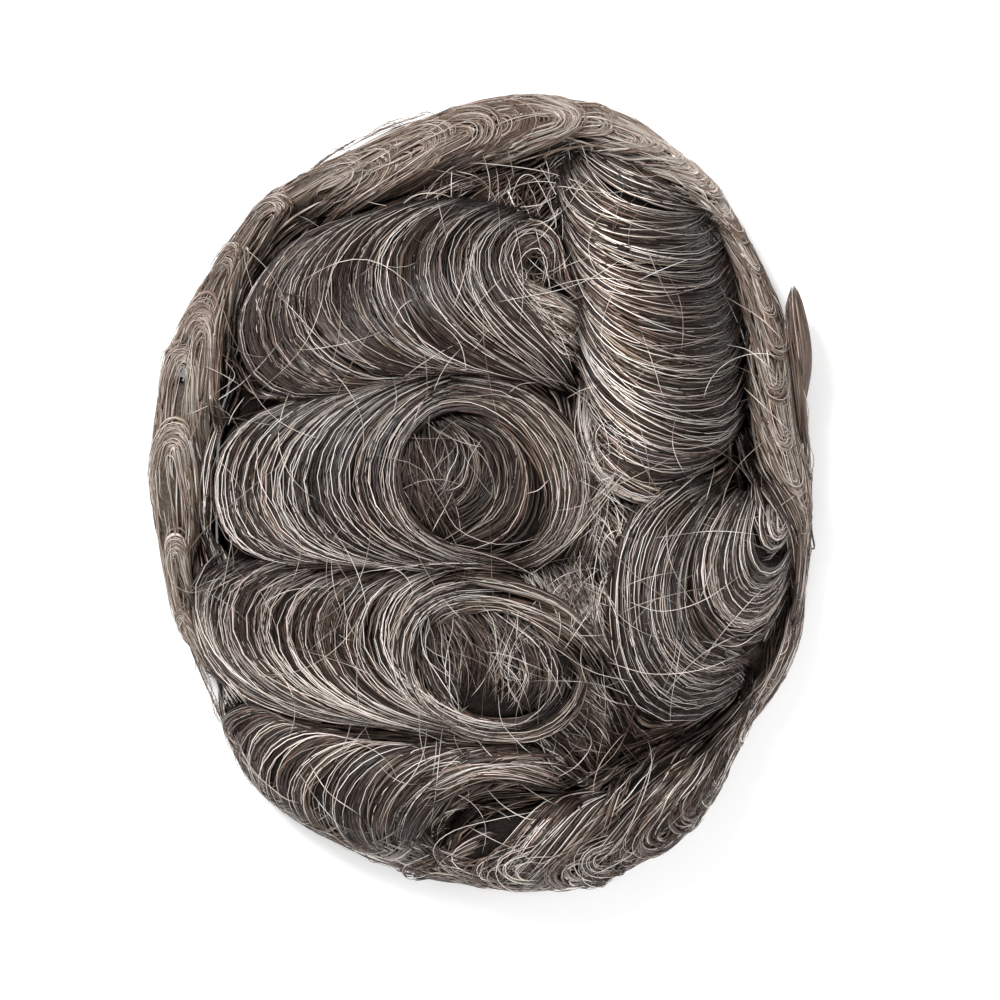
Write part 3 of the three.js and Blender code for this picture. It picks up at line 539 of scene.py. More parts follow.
def skirt(surface, count, seed, direction=1, brown=(0.15, 0.55), grey=0.15, top=0.85, past=3.0, points=9):
    """Strands that comb down the outside of a rim lock to its lower edge."""
    rng = np.random.default_rng(seed)
    low, high = -past, surface.length + past
    t = np.linspace(0, 1, points)[None, :]
    mix = Mix(rng, count, grey, rng.uniform(0, 1, count), brown, 0.6)
    first, last = rng.uniform(top - 0.15, top + 0.15, count)[:, None], rng.uniform(1.18, 1.34, count)[:, None]
    over = first + (last - first) * t ** rng.uniform(0.85, 1.2, count)[:, None]
    along = rng.uniform(low, high, count)[:, None] + direction * rng.uniform(11, 18, count)[:, None] * (t - 0.5) + meander(rng, count, points, 0.3)
    along = np.clip(along, low - 3, high + 3)
    rise = rng.uniform(-0.7, 0.1, count)[:, None] + meander(rng, count, points, 0.12) - 1.2 * np.clip(1 - t / 0.15, 0, 1)
    return surface.points(np.stack([along, over], -1), rise), mix.wide * 1.25, mix.high, mix.tones


def scattered(inside, height, count, seed, length=(8.0, 16.0), heading=(0, 180), bend=50.0, rise=(0.5, 4.0), grey=0.5, tilt=0.06, points=8, bundle=0.0, thick=1.0, limit=0.97):
    """Short loose strands over a patch. inside is a list of ellipses (u, v, ru, rv) in pixels, height the surface below and heading the range of directions in degrees."""
    rng = np.random.default_rng(seed)
    e = np.array(inside, float)
    which = rng.integers(0, len(e), count)
    rr, aa = np.sqrt(rng.uniform(0, 1, count)), rng.uniform(0, 2 * math.pi, count)
    x, y = place(e[which, 0] + e[which, 2] * rr * np.cos(aa), e[which, 1] + e[which, 3] * rr * np.sin(aa))
    size = rng.uniform(*length, count)
    first = np.radians(rng.uniform(*heading, count))
    curl = np.radians(rng.normal(0, bend, count))
    t = np.linspace(0, 1, points)
    turn = first[:, None] + curl[:, None] * (t[None] - 0.5) + meander(rng, count, points, 0.10)
    step = np.stack([np.cos(turn), np.sin(turn)], -1) * (size / (points - 1))[:, None, None]
    p = np.cumsum(step, axis=1)
    p = p - p[:, points // 2][:, None] + np.stack([x, y], -1)[:, None]
    p *= np.minimum(1, limit * outline_radius(p[..., 0], p[..., 1]) / np.hypot(p[..., 0], p[..., 1]))[..., None]
    mix = Mix(rng, count, grey, rng.uniform(0, 1, count), (0.05, 0.62), bundle)
    z = height(p[..., 0], p[..., 1]) + (rng.uniform(*rise, count) - 0.8 * mix.bundle)[:, None] + (rng.normal(0, tilt, count) * size)[:, None] * (t[None] - 0.5) + meander(rng, count, points, 0.3)
    return np.concatenate([p, z[..., None]], -1), mix.wide * thick, mix.high * thick, mix.tones


def undercoat(count, seed, flow, points=9, step=2.2):
    """Flat strands along the floors of the seams. flow is a list of lines in mm whose directions the strands take."""
    rng = np.random.default_rng(seed)
    where = np.concatenate([f[:-1] for f in flow])
    way = np.concatenate([np.diff(f, axis=0) for f in flow])
    turn = np.arctan2(way[:, 1], way[:, 0])
    double = np.stack([np.cos(2 * turn), np.sin(2 * turn)], -1)
    cells = GROUND.gaps[rng.integers(0, len(GROUND.gaps), count)]
    p = GROUND.low + GROUND.STEP * (cells + rng.uniform(-0.5, 0.5, (count, 2)))
    lines, last = [p], None
    for _ in range(points - 1):
        weight = np.exp(-((p[:, None] - where[None]) ** 2).sum(-1) / (2 * 3.5**2)) + 1e-9
        d = weight @ double
        a = np.arctan2(d[:, 1], d[:, 0]) / 2 + rng.normal(0, 0.05, count)
        d = np.stack([np.cos(a), np.sin(a)], -1)
        if last is not None:
            d *= np.where((d * last).sum(-1) < 0, -1.0, 1.0)[:, None]
        last = d
        p = p + step * d
        lines.append(p)
    p = np.stack(lines, 1)
    p *= np.minimum(1, 0.955 * outline_radius(p[..., 0], p[..., 1]) / np.hypot(p[..., 0], p[..., 1]))[..., None]
    mix = Mix(rng, count, 0.06, rng.uniform(0, 1, count), (0.05, 0.56), 0.75)
    rise = np.where(mix.bundle, rng.uniform(-1.2, 0.4, count), rng.uniform(0.2, 1.0, count))
    z = GROUND.points(p, rise[:, None] + meander(rng, count, points, 0.15))
    return z, mix.wide, mix.high, mix.tones


def traced(lines, rise, seed, points=17, thick=(0.085, 0.115), tone=(0.80, 1.0)):
    """Single hairs lying over everything, along lines of pixels."""
    rng = np.random.default_rng(seed)
    made = []
    for line in lines:
        q = curve(np.array(line, float), np.linspace(0, len(line) - 1, points))
        x, y = place(q[:, 0], q[:, 1])
        made.append(np.stack([x, y, GROUND.over(x, y) + rise + rng.uniform(-0.5, 1.2) + 1.2 * np.sin(math.pi * np.linspace(0, 1, points))], -1))
    wide = rng.uniform(*thick, len(lines))
    return np.array(made), wide, wide * 1.15, rng.uniform(*tone, len(lines))


# ---- meshes ----
def tubes(lines, wide, high, tones, cells, total, rng):
    """Three-sided closed tubes, one for each line, as arrays: vertices, faces, their corners' map places and each vertex's tone, along, across and seed."""
    n, m = lines.shape[:2]
    t = np.gradient(lines, axis=1)
    t /= np.maximum(np.linalg.norm(t, axis=-1), 1e-9)[..., None]
    up = lines - np.array([0.0, 0.0, -10.0])
    up /= np.linalg.norm(up, axis=-1)[..., None]
    side = np.cross(t, up)
    # where a strand stands nearly upright its side follows on from the last one
    for k in range(m):
        size = np.linalg.norm(side[:, k], axis=-1)[:, None]
        if k:
            last = side[:, k - 1] - (side[:, k - 1] * t[:, k]).sum(-1, keepdims=True) * t[:, k]
            side[:, k] = np.where(size < 0.35, last, side[:, k])
            side[:, k] *= np.where((side[:, k] * last).sum(-1, keepdims=True) < 0, -1.0, 1.0)
        side[:, k] /= np.maximum(np.linalg.norm(side[:, k], axis=-1), 1e-9)[:, None]
    up = np.cross(side, t)
    share = np.linspace(0, 1, m)
    taper = np.interp(share, [0, 0.08, 0.68, 1], [0.5, 1.0, 1.0, 0.14])[None]
    w, h = wide[:, None] * taper, high[:, None] * taper
    v = np.stack([lines + (w * a)[..., None] * side + (h * b)[..., None] * up for a, b in ((0, 1), (-1, -0.5), (1, -0.5))], 2)
    base = (np.arange(n * m) * 3).reshape(n, m)
    quads = []
    for k in range(3):
        a, b = base[:, :-1] + k, base[:, :-1] + (k + 1) % 3
        quads.append(np.stack([a, b, b + 3, a + 3], -1))
    quads = np.stack(quads, 2).reshape(-1, 4)
    caps = np.stack([np.stack([base[:, 0] + 2, base[:, 0] + 1, base[:, 0]], -1), np.stack([base[:, -1], base[:, -1] + 1, base[:, -1] + 2], -1)], 1).reshape(-1, 3)
    # map: each strand has a cell of its own, and its three sides lie on each other in it
    rows = 14
    cols = -(-total // rows)
    cell = cells + np.arange(n)
    pu = (cell % cols)[:, None, None] / cols + np.array([0.5, 0.14, 0.86])[None, None, :] / cols * np.ones((1, m, 1))
    pv = ((cell // cols)[:, None] / rows + (0.04 + 0.92 * share[None]) / rows)[..., None] * np.ones((1, 1, 3))
    uv = np.stack([pu, 0.21 + 0.785 * pv], -1).reshape(-1, 2)
    caps_uv = uv[caps].copy()
    caps_uv[:, 1, 1] += 0.006 / rows
    marks = np.stack([
        np.repeat(tones, m * 3),
        np.tile(np.repeat(share, 3), n),
        (w[..., None] * np.array([0.0, -1.0, 1.0])).ravel(),
        np.repeat(rng.uniform(0, 1, n), m * 3),
        np.repeat(np.clip(wide / 0.36, 0.36, 1.0), m * 3),
    ], -1)
    return v.reshape(-1, 3), quads, caps, uv[quads], caps_uv, marks


def inner_mass(node, shrink, voxel, raise_by=None):
    """A smooth closed body a little inside a CAD solid: vertices in mm, faces as lists and their map."""
    ob = bpy.data.objects.new("scratch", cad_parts[node].data.copy())
    bpy.context.scene.collection.objects.link(ob)
    re = ob.modifiers.new("voxel", "REMESH")
    re.mode, re.voxel_size = "VOXEL", voxel / 1000
    sm = ob.modifiers.new("soft", "SMOOTH")
    sm.iterations, sm.factor = 6, 0.6
    di = ob.modifiers.new("in", "DISPLACE")
    di.strength, di.mid_level = -shrink / 1000, 0.0
    bpy.context.view_layer.update()
    me = bpy.data.meshes.new_from_object(ob.evaluated_get(bpy.context.evaluated_depsgraph_get()))
    old = ob.data
    ob.modifiers.clear()
    ob.data = me
    bpy.data.meshes.remove(old)
    for x in bpy.context.selected_objects:
        x.select_set(False)
    ob.select_set(True)
    bpy.context.view_layer.objects.active = ob
    me.uv_layers.new(name="flat")
    bpy.ops.object.mode_set(mode="EDIT")
    bpy.ops.mesh.select_all(action="SELECT")
    bpy.ops.uv.smart_project(angle_limit=1.15, island_margin=0.01, scale_to_bounds=True)
    bpy.ops.object.mode_set(mode="OBJECT")
    v = np.empty(len(me.vertices) * 3, np.float32)
    me.vertices.foreach_get("co", v)
    v = v.reshape(-1, 3).astype(float) * 1000
    v[:, :2] -= SHIFT
    loops = np.empty(len(me.loops), np.int32)
    me.loops.foreach_get("vertex_index", loops)
    start, total = np.empty(len(me.polygons), np.int32), np.empty(len(me.polygons), np.int32)
    me.polygons.foreach_get("loop_start", start)
    me.polygons.foreach_get("loop_total", total)
    uv = np.empty(len(me.loops) * 2, np.float32)
    me.uv_layers["flat"].uv.foreach_get("vector", uv)
    uv = uv.reshape(-1, 2) * [0.99, 0.195] + [0.005, 0.003]
    bpy.data.objects.remove(ob)
    bpy.data.meshes.remove(me)
    if raise_by is not None:
        v[:, 2] += raise_by(v[:, 0], v[:, 1], v[:, 2])
    v[:, 2] = np.maximum(v[:, 2], FLOOR_CLEAR)
    return v, loops, start, total, uv


def make_piece(name, strands, mass, materials, nodes=()):
    """One object from strands and an inner mass."""
    rng = np.random.default_rng(len(name) * 1000 + strands.count())
    verts, loops, totals, uvs, slots, marks = [], [], [], [], [], []
    at = cells = 0
    for lines, wide, high, tones in strands.groups:
        lines = lines.copy()
        lines[..., 2] = np.maximum(lines[..., 2], FLOOR_CLEAR + 0.2)
        v, quads, caps, quv, cuv, mk = tubes(lines, wide, high, tones, cells, strands.count(), rng)
        verts.append(v)
        loops += [quads.ravel() + at, caps.ravel() + at]
        totals += [np.full(len(quads), 4), np.full(len(caps), 3)]
        uvs += [quv.reshape(-1, 2), cuv.reshape(-1, 2)]
        slots.append(np.zeros(len(quads) + len(caps), int))
        marks.append(mk)
        at += len(v)
        cells += len(lines)
    if mass is not None:
        mv, ml, ms, mt, muv = mass
        verts.append(mv)
        loops.append(ml + at)
        totals.append(mt)
        uvs.append(muv)
        slots.append(np.ones(len(mt), int))
        marks.append(np.tile([0.1, 0.5, 0.0, 0.0, 1.0], (len(mv), 1)))
    co = np.concatenate(verts)
    co[:, :2] += SHIFT
    co /= 1000
    loops, totals, marks = np.concatenate(loops), np.concatenate(totals), np.concatenate(marks)
    me = bpy.data.meshes.new(name)
    me.vertices.add(len(co))
    me.vertices.foreach_set("co", co.astype(np.float32).ravel())
    me.loops.add(len(loops))
    me.loops.foreach_set("vertex_index", loops.astype(np.int32))
    me.polygons.add(len(totals))
    me.polygons.foreach_set("loop_start", (np.cumsum(totals) - totals).astype(np.int32))
    me.polygons.foreach_set("loop_total", totals.astype(np.int32))
    me.polygons.foreach_set("material_index", np.concatenate(slots).astype(np.int32))
    me.polygons.foreach_set("use_smooth", np.ones(len(totals), bool))
    me.update(calc_edges=True)
    layer = me.uv_layers.new(name="OFBake", do_init=False)
    layer.uv.foreach_set("vector", np.concatenate(uvs).astype(np.float32).ravel())
    for i, key in enumerate(("tone", "along", "across", "seed", "vary")):
        me.attributes.new(key, "FLOAT", "POINT").data.foreach_set("value", marks[:, i].astype(np.float32))
    for m in materials:
        me.materials.append(m)
    ob = bpy.data.objects.new(name, me)
    bpy.context.scene.collection.objects.link(ob)
    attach(ob, "root")
    if nodes:
        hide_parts(*nodes)
    global triangles
    made = int((totals - 2).sum())
    triangles += made
    print(f"PIECE {name}: {strands.count()} strands, {made} triangles", flush=True)
    return ob


# ---- materials ----
def nodes_of(name):
    m = bpy.data.materials.new(name)
    m.use_nodes = True
    return m, m.node_tree.nodes, m.node_tree.links, m.node_tree.nodes["Principled BSDF"]


def ramp(nodes, stops, kind="LINEAR"):
    r = nodes.new("ShaderNodeValToRGB")
    r.color_ramp.interpolation = kind
    while len(r.color_ramp.elements) < len(stops):
        r.color_ramp.elements.new(0.5)
    for e, (at, colour) in zip(r.color_ramp.elements, stops):
        e.position, e.color = at, (*colour, 1)
    return r


STRAND_TONES = [  # tone, linear colour
    (0.00, (0.0070, 0.0042, 0.0034)), (0.20, (0.0210, 0.0128, 0.0098)), (0.38, (0.0520, 0.0322, 0.0240)), (0.52, (0.1020, 0.0650, 0.0470)),
    (0.60, (0.150, 0.101, 0.074)), (0.66, (0.200, 0.151, 0.119)), (0.75, (0.320, 0.272, 0.240)), (0.87, (0.540, 0.490, 0.455)), (1.00, (0.860, 0.815, 0.780)),
]


# root is painted shade at a strand's start in the seam; shine is a painted gain in brightness along the strand
def strand_material(name, contrast=0.50, root=0.30, roughness=0.36, shine=((0.35, 1.0), (1.0, 1.12))):
    m, n, l, p = nodes_of(name)

    def mark(key):
        a = n.new("ShaderNodeAttribute")
        a.attribute_name = key
        return a.outputs["Fac"]

    def math_node(kind, a, b):
        x = n.new("ShaderNodeMath")
        x.operation = kind
        for i, value in enumerate((a, b)):
            if isinstance(value, float):
                x.inputs[i].default_value = value
            else:
                l.new(value, x.inputs[i])
        return x.outputs[0]

    # fine streaks along a strand: a bundle of hairs shows several, a single hair one
    streak = n.new("ShaderNodeCombineXYZ")
    l.new(math_node("MULTIPLY", mark("across"), 2.7), streak.inputs["X"])
    l.new(math_node("MULTIPLY", mark("along"), 2.2), streak.inputs["Y"])
    l.new(math_node("MULTIPLY", mark("seed"), 97.0), streak.inputs["Z"])
    noise = n.new("ShaderNodeTexNoise")
    noise.inputs["Scale"].default_value = 1.0
    noise.inputs["Detail"].default_value = 1.0
    l.new(streak.outputs["Vector"], noise.inputs["Vector"])
    spread = n.new("ShaderNodeMapRange")
    spread.inputs["From Min"].default_value = 0.28
    spread.inputs["From Max"].default_value = 0.72
    spread.inputs["To Min"].default_value = -contrast
    spread.inputs["To Max"].default_value = contrast
    l.new(noise.outputs["Fac"], spread.inputs["Value"])
    tone = math_node("ADD", mark("tone"), math_node("MULTIPLY", mark("vary"), spread.outputs["Result"]))
    colour = ramp(n, STRAND_TONES)
    l.new(tone, colour.inputs["Fac"])
    # painted shade: darker where a strand comes out of the seam; a little lighter towards its tip, and where shine is
    # given, a painted sheen band along the strand
    length = ramp(n, [(0.0, (root,) * 3), (0.12, (0.80,) * 3)] + [(at, (gain,) * 3) for at, gain in shine])
    l.new(mark("along"), length.inputs["Fac"])
    mix = n.new("ShaderNodeMix")
    mix.data_type, mix.blend_type = "RGBA", "MULTIPLY"
    mix.inputs["Factor"].default_value = 1.0
    l.new(colour.outputs["Color"], mix.inputs["A"])
    l.new(length.outputs["Color"], mix.inputs["B"])
    # some strands are redder, some more olive, some colder
    hue = ramp(n, [(0.0, (1.10, 0.965, 0.93)), (0.3, (1.03, 0.99, 0.97)), (0.55, (1.0, 1.0, 1.0)), (0.8, (1.02, 1.01, 0.90)), (1.0, (0.97, 1.0, 1.05))])
    l.new(mark("seed"), hue.inputs["Fac"])
    tinted = n.new("ShaderNodeMix")
    tinted.data_type, tinted.blend_type = "RGBA", "MULTIPLY"
    tinted.inputs["Factor"].default_value = 1.0
    l.new(mix.outputs["Result"], tinted.inputs["A"])
    l.new(hue.outputs["Color"], tinted.inputs["B"])
    l.new(tinted.outputs["Result"], p.inputs["Base Color"])
    rough = n.new("ShaderNodeMapRange")
    rough.inputs["To Min"].default_value = roughness - 0.06
    rough.inputs["To Max"].default_value = roughness + 0.10
    l.new(noise.outputs["Fac"], rough.inputs["Value"])
    l.new(rough.outputs["Result"], p.inputs["Roughness"])
    bump = n.new("ShaderNodeBump")
    bump.inputs["Strength"].default_value = 0.55
    bump.inputs["Distance"].default_value = 0.00012
    l.new(noise.outputs["Fac"], bump.inputs["Height"])
    l.new(bump.outputs["Normal"], p.inputs["Normal"])
    p.inputs["IOR"].default_value = 1.50
    p.inputs["Specular IOR Level"].default_value = 0.42
    return m


def mass_material(name, low, high):
    """Packed hair under the strands, with fine streaks, in colours from low to high: very dark as painted shade in the
    gaps between strands, or lighter as painted haze on the rims.
    """
    m, n, l, p = nodes_of(name)
    coords = n.new("ShaderNodeTexCoord")
    stretch = n.new("ShaderNodeMapping")
    stretch.inputs["Scale"].default_value = (900, 900, 160)
    l.new(coords.outputs["Object"], stretch.inputs["Vector"])
    noise = n.new("ShaderNodeTexNoise")
    noise.inputs["Scale"].default_value = 1.0
    noise.inputs["Detail"].default_value = 4.0
    l.new(stretch.outputs["Vector"], noise.inputs["Vector"])
    colour = ramp(n, [(0.35, low), (0.70, high)])
    l.new(noise.outputs["Fac"], colour.inputs["Fac"])
    l.new(colour.outputs["Color"], p.inputs["Base Color"])
    bump = n.new("ShaderNodeBump")
    bump.inputs["Strength"].default_value = 0.7
    bump.inputs["Distance"].default_value = 0.0006
    l.new(noise.outputs["Fac"], bump.inputs["Height"])
    l.new(bump.outputs["Normal"], p.inputs["Normal"])
    p.inputs["Roughness"].default_value = 0.75
    p.inputs["Specular IOR Level"].default_value = 0.12
    return m


def film_material():
    """Thin skin of the base: pale, faintly mottled, with the small dark points of the hair's roots."""
    m, n, l, p = nodes_of("base_film")
    coords = n.new("ShaderNodeTexCoord")
    cloud = n.new("ShaderNodeTexNoise")
    cloud.inputs["Scale"].default_value = 55.0
    cloud.inputs["Detail"].default_value = 5.0
    l.new(coords.outputs["Object"], cloud.inputs["Vector"])
    tone = ramp(n, [(0.3, (0.50, 0.345, 0.245)), (0.7, (0.60, 0.43, 0.315))])
    l.new(cloud.outputs["Fac"], tone.inputs["Fac"])
    roots = n.new("ShaderNodeTexVoronoi")
    roots.inputs["Scale"].default_value = 620.0
    l.new(coords.outputs["Object"], roots.inputs["Vector"])
    dots = ramp(n, [(0.10, (0.10, 0.07, 0.055)), (0.26, (1.0, 1.0, 1.0))])
    l.new(roots.outputs["Distance"], dots.inputs["Fac"])
    mix = n.new("ShaderNodeMix")
    mix.data_type, mix.blend_type = "RGBA", "MULTIPLY"
    mix.inputs["Factor"].default_value = 0.85
    l.new(tone.outputs["Color"], mix.inputs["A"])
    l.new(dots.outputs["Color"], mix.inputs["B"])
    l.new(mix.outputs["Result"], p.inputs["Base Color"])
    bump = n.new("ShaderNodeBump")
    bump.inputs["Strength"].default_value = 0.4
    bump.inputs["Distance"].default_value = 0.0003
    l.new(roots.outputs["Distance"], bump.inputs["Height"])
    l.new(bump.outputs["Normal"], p.inputs["Normal"])
    p.inputs["Roughness"].default_value = 0.42
    return m


# painted shade: the packed hair is coloured near black to stand for the shade in the gaps between strands
MASS_PAINTED_SHADE = mass_material("hair_packed_painted_shade", (0.004, 0.0028, 0.0022), (0.016, 0.0108, 0.0085))
HAIR = strand_material("hair_strands")
# painted sheen: the roll's strands are brightened up to 1.85 times from a quarter to half along their length, as a
# highlight band
ROLL_PAINTED_SHEEN = strand_material("hair_roll_painted_sheen", shine=((0.24, 1.15), (0.38, 1.85), (0.52, 1.45), (0.66, 0.80), (1.0, 0.72)))
# painted haze: a copy of the strand material with weaker streaks and paler roots, for the rims that look lit by haze
HAIR_PAINTED_HAZE = strand_material("hair_painted_haze", 0.20, 0.45, 0.44)
# painted haze: a lighter copy of the packed hair for the rim locks, as though lit by haze and light from behind
MASS_PAINTED_HAZE = mass_material("hair_packed_painted_haze", (0.046, 0.0345, 0.0275), (0.115, 0.0860, 0.0700))
COVER = Cover()
triangles = 0

# ---- camera, floor and light ----
scene = bpy.context.scene
camera = bpy.data.objects.new("camera", bpy.data.cameras.new("camera"))
scene.collection.objects.link(camera)
camera.data.sensor_width = 36.0
camera.data.lens = 36.0 * (CAMERA_HEIGHT - SHARP_HEIGHT) / (1000 * PIXEL / 1000)
cx, cy = place(500, 500)
camera.location = ((cx + SHIFT[0]) / 1000, (cy + SHIFT[1]) / 1000, CAMERA_HEIGHT)
camera.rotation_euler = (0, 0, 0)
camera.data.clip_start, camera.data.clip_end = 0.1, 50
scene.camera = camera

bpy.ops.mesh.primitive_plane_add(size=12)
floor = bpy.context.object
floor.name = "floor"
fm, fn, fl, fp = nodes_of("floor_paper")
fp.inputs["Base Color"].default_value = (0.92, 0.92, 0.92, 1)
fp.inputs["Roughness"].default_value = 0.9
fp.inputs["Emission Color"].default_value = (1, 1, 1, 1)
fp.inputs["Emission Strength"].default_value = 0.22
floor.data.materials.append(fm)


def area(name, at, aim, size, power, colour=(1, 1, 1)):
    lamp = bpy.data.lights.new(name, "AREA")
    lamp.shape, lamp.size, lamp.energy, lamp.color = "SQUARE", size, power, colour
    ob = bpy.data.objects.new(name, lamp)
    ob.location = at
    d = np.array(aim) - np.array(at)
    ob.rotation_euler = (math.atan2(math.hypot(d[0], d[1]), -d[2]), 0, math.atan2(d[1], d[0]) - math.pi / 2)
    scene.collection.objects.link(ob)


area("key", (-0.75, 0.95, 1.5), (0, 0, 0.03), 0.65, 46)
area("fill", (1.1, -0.3, 1.3), (0, 0, 0.03), 1.1, 13)
area("front", (0.0, -1.3, 1.2), (0, 0, 0.03), 0.9, 10)
world = bpy.data.worlds.new("studio")
scene.world = world
world.use_nodes = True
world.node_tree.nodes["Background"].inputs["Color"].default_value = (1, 1, 1, 1)
world.node_tree.nodes["Background"].inputs["Strength"].default_value = 0.34
scene.view_settings.view_transform = "Standard"

# ---- top locks ----
GUIDES = {
    "crown": [
        [(318, 236), (280, 258), (250, 295), (240, 330), (252, 372), (290, 398), (350, 398)],
        [(330, 226), (290, 248), (258, 290), (250, 330), (266, 370), (305, 393), (370, 390)],
        [(375, 212), (325, 235), (288, 275), (276, 320), (294, 362), (345, 388), (420, 378)],
        [(415, 204), (365, 225), (330, 262), (322, 305), (348, 345), (400, 374), (465, 374)],
        [(455, 200), (412, 220), (382, 255), (382, 300), (410, 340), (460, 368), (515, 380)],
        [(490, 203), (450, 222), (428, 255), (432, 295), (465, 335), (510, 365), (555, 390)],
        [(520, 212), (490, 230), (475, 258), (482, 292), (510, 328), (545, 360), (573, 393)],
        [(545, 228), (520, 240), (512, 262), (522, 290), (545, 318), (562, 345), (574, 374)],
    ],
    "middle": [
        [(300, 408), (255, 418), (222, 448), (212, 490), (226, 535), (262, 558), (320, 566)],
        [(330, 395), (280, 408), (240, 442), (226, 490), (240, 536), (280, 560), (345, 566)],
        [(380, 385), (318, 405), (272, 445), (258, 495), (282, 540), (330, 562), (400, 568)],
        [(420, 376), (360, 400), (315, 440), (300, 492), (325, 537), (375, 560), (440, 570)],
        [(460, 374), (405, 395), (362, 435), (348, 487), (372, 532), (420, 558), (480, 572)],
        [(490, 380), (440, 394), (402, 430), (388, 480), (408, 527), (455, 556), (520, 574)],
    ],
    "lower": [
        [(232, 548), (206, 570), (200, 605), (212, 648), (248, 684), (298, 708), (360, 722)],
        [(285, 562), (240, 580), (225, 615), (238, 657), (278, 692), (335, 715), (400, 727)],
        [(330, 567), (285, 588), (268, 622), (280, 660), (318, 694), (375, 718), (440, 732)],
        [(375, 568), (330, 590), (312, 626), (322, 663), (358, 697), (412, 720), (475, 734)],
        [(420, 568), (375, 590), (356, 628), (365, 665), (398, 698), (448, 720), (505, 732)],
        [(455, 568), (415, 590), (398, 628), (405, 662), (432, 694), (475, 716), (525, 722)],
    ],
    "roll": [
        [(565, 160), (572, 185), (600, 210), (645, 222), (690, 222), (712, 205)],
        [(556, 185), (570, 215), (603, 240), (650, 252), (700, 250), (722, 232)],
        [(560, 215), (578, 250), (612, 275), (660, 287), (708, 283), (728, 262)],
        [(566, 250), (584, 285), (618, 312), (668, 325), (715, 320), (734, 297)],
        [(572, 285), (590, 320), (625, 350), (675, 365), (722, 358), (739, 335)],
        [(574, 320), (592, 358), (628, 390), (678, 405), (725, 398), (742, 372)],
        [(576, 355), (594, 395), (630, 425), (678, 442), (722, 438), (743, 412)],
        [(578, 390), (596, 428), (628, 455), (668, 468), (705, 462), (728, 445)],
        [(585, 420), (602, 450), (630, 472), (660, 480), (690, 474), (706, 462)],
    ],
    "right": [
        [(705, 475), (660, 482), (625, 515), (610, 570), (610, 640), (632, 700), (680, 722), (728, 702)],
        [(708, 480), (668, 495), (637, 530), (625, 580), (630, 645), (655, 690), (695, 705), (738, 685)],
        [(712, 485), (680, 505), (655, 540), (645, 590), (652, 640), (678, 675), (712, 685), (745, 668)],
        [(716, 490), (695, 515), (675, 550), (668, 595), (676, 635), (700, 660), (728, 665), (752, 650)],
    ],
    "inner": [
        [(732, 490), (705, 520), (690, 565), (695, 610), (722, 645), (760, 640), (785, 600)],
        [(740, 492), (720, 522), (708, 562), (714, 600), (738, 625), (768, 615), (790, 580)],
        [(748, 495), (735, 525), (727, 560), (733, 590), (752, 605), (775, 592), (790, 560)],
    ],
    "wave": [
        [(300, 722), (258, 704), (228, 712), (222, 738), (245, 776)],
        [(345, 735), (295, 722), (258, 735), (250, 768), (275, 806)],
        [(395, 742), (340, 735), (296, 755), (283, 790), (310, 828)],
        [(440, 745), (385, 742), (338, 765), (322, 802), (350, 846)],
        [(480, 748), (430, 748), (382, 775), (362, 815), (385, 856)],
        [(540, 752), (490, 755), (440, 775), (405, 810), (400, 850)],
        [(575, 765), (525, 760), (475, 775), (440, 805), (425, 850)],
    ],
    "front": [
        [(540, 796), (485, 806), (450, 838), (462, 868), (520, 882)],
        [(560, 812), (510, 817), (478, 840), (490, 863), (545, 874)],
        [(590, 806), (550, 818), (525, 845), (540, 868), (590, 876)],
    ],
}
top = {name: TopSurface(name, rows, 22 if name in ("crown_curl", "middle_curl", "lower_curl", "right_roll") else 12) for name, rows in TOP_ROWS.items()}
rim = {name: RimSurface(rows) for name, rows in RIM_ROWS.items()}


def lock(name, parts, shrink=2.2, voxel=3.0, hair=None):
    strands = Strands().add(*parts)
    strands = COVER.seen(strands) if name in TOP_ROWS else COVER.note(strands)
    if hair is HAIR_PAINTED_HAZE:
        for group in strands.groups:
            group[3][:] = np.minimum(group[3], 0.84)
    make_piece(name, strands, inner_mass(name, shrink, voxel), [hair or HAIR, MASS_PAINTED_HAZE if hair is HAIR_PAINTED_HAZE else MASS_PAINTED_SHADE], [name])


GUIDES["crown_eye"] = [
    [(496, 266), (506, 234), (535, 223), (560, 244), (563, 282)],
    [(504, 270), (514, 243), (536, 234), (554, 251), (555, 284)],
    [(512, 273), (521, 252), (537, 245), (548, 259), (547, 286)],
    [(519, 275), (527, 260), (538, 256), (543, 267), (538, 286)],
]
GUIDES["crown_cup"] = [
    [(502, 248), (504, 275), (520, 296), (550, 300)],
    [(511, 252), (513, 273), (526, 288), (550, 290)],
    [(520, 258), (522, 270), (531, 279), (546, 279)],
]
GUIDES["crown_fan"] = [
    [(520, 282), (542, 290), (562, 299), (580, 312)],
    [(528, 300), (546, 310), (564, 318), (580, 332)],
    [(538, 320), (552, 332), (566, 340), (580, 351)],
    [(548, 342), (560, 353), (571, 361), (581, 370)],
]
GUIDES["lower"][0] = [(226, 552), (196, 578), (188, 612), (198, 652), (232, 690), (288, 712), (355, 724)]
GUIDES["roll"] = [
    [(598, 138), (625, 150), (660, 166), (692, 184), (712, 198)],
    [(584, 146), (604, 162), (640, 184), (684, 200), (714, 208)],
    [(574, 152), (588, 174), (620, 200), (662, 213), (700, 214), (718, 214)],
] + GUIDES["roll"] + [
    [(584, 400), (594, 445), (622, 480), (660, 492), (700, 482)],
]
GUIDES["right"].append([(724, 492), (706, 520), (692, 560), (688, 602), (698, 638), (720, 655), (745, 656), (764, 640)])
GUIDES["inner"].append([(754, 495), (750, 520), (750, 545), (759, 566), (776, 566), (791, 545)])
GUIDES["inner_hollow"] = [
    [(748, 486), (750, 515), (762, 540), (782, 540), (796, 515)],
    [(756, 480), (760, 505), (770, 522), (785, 520), (796, 500)],
]
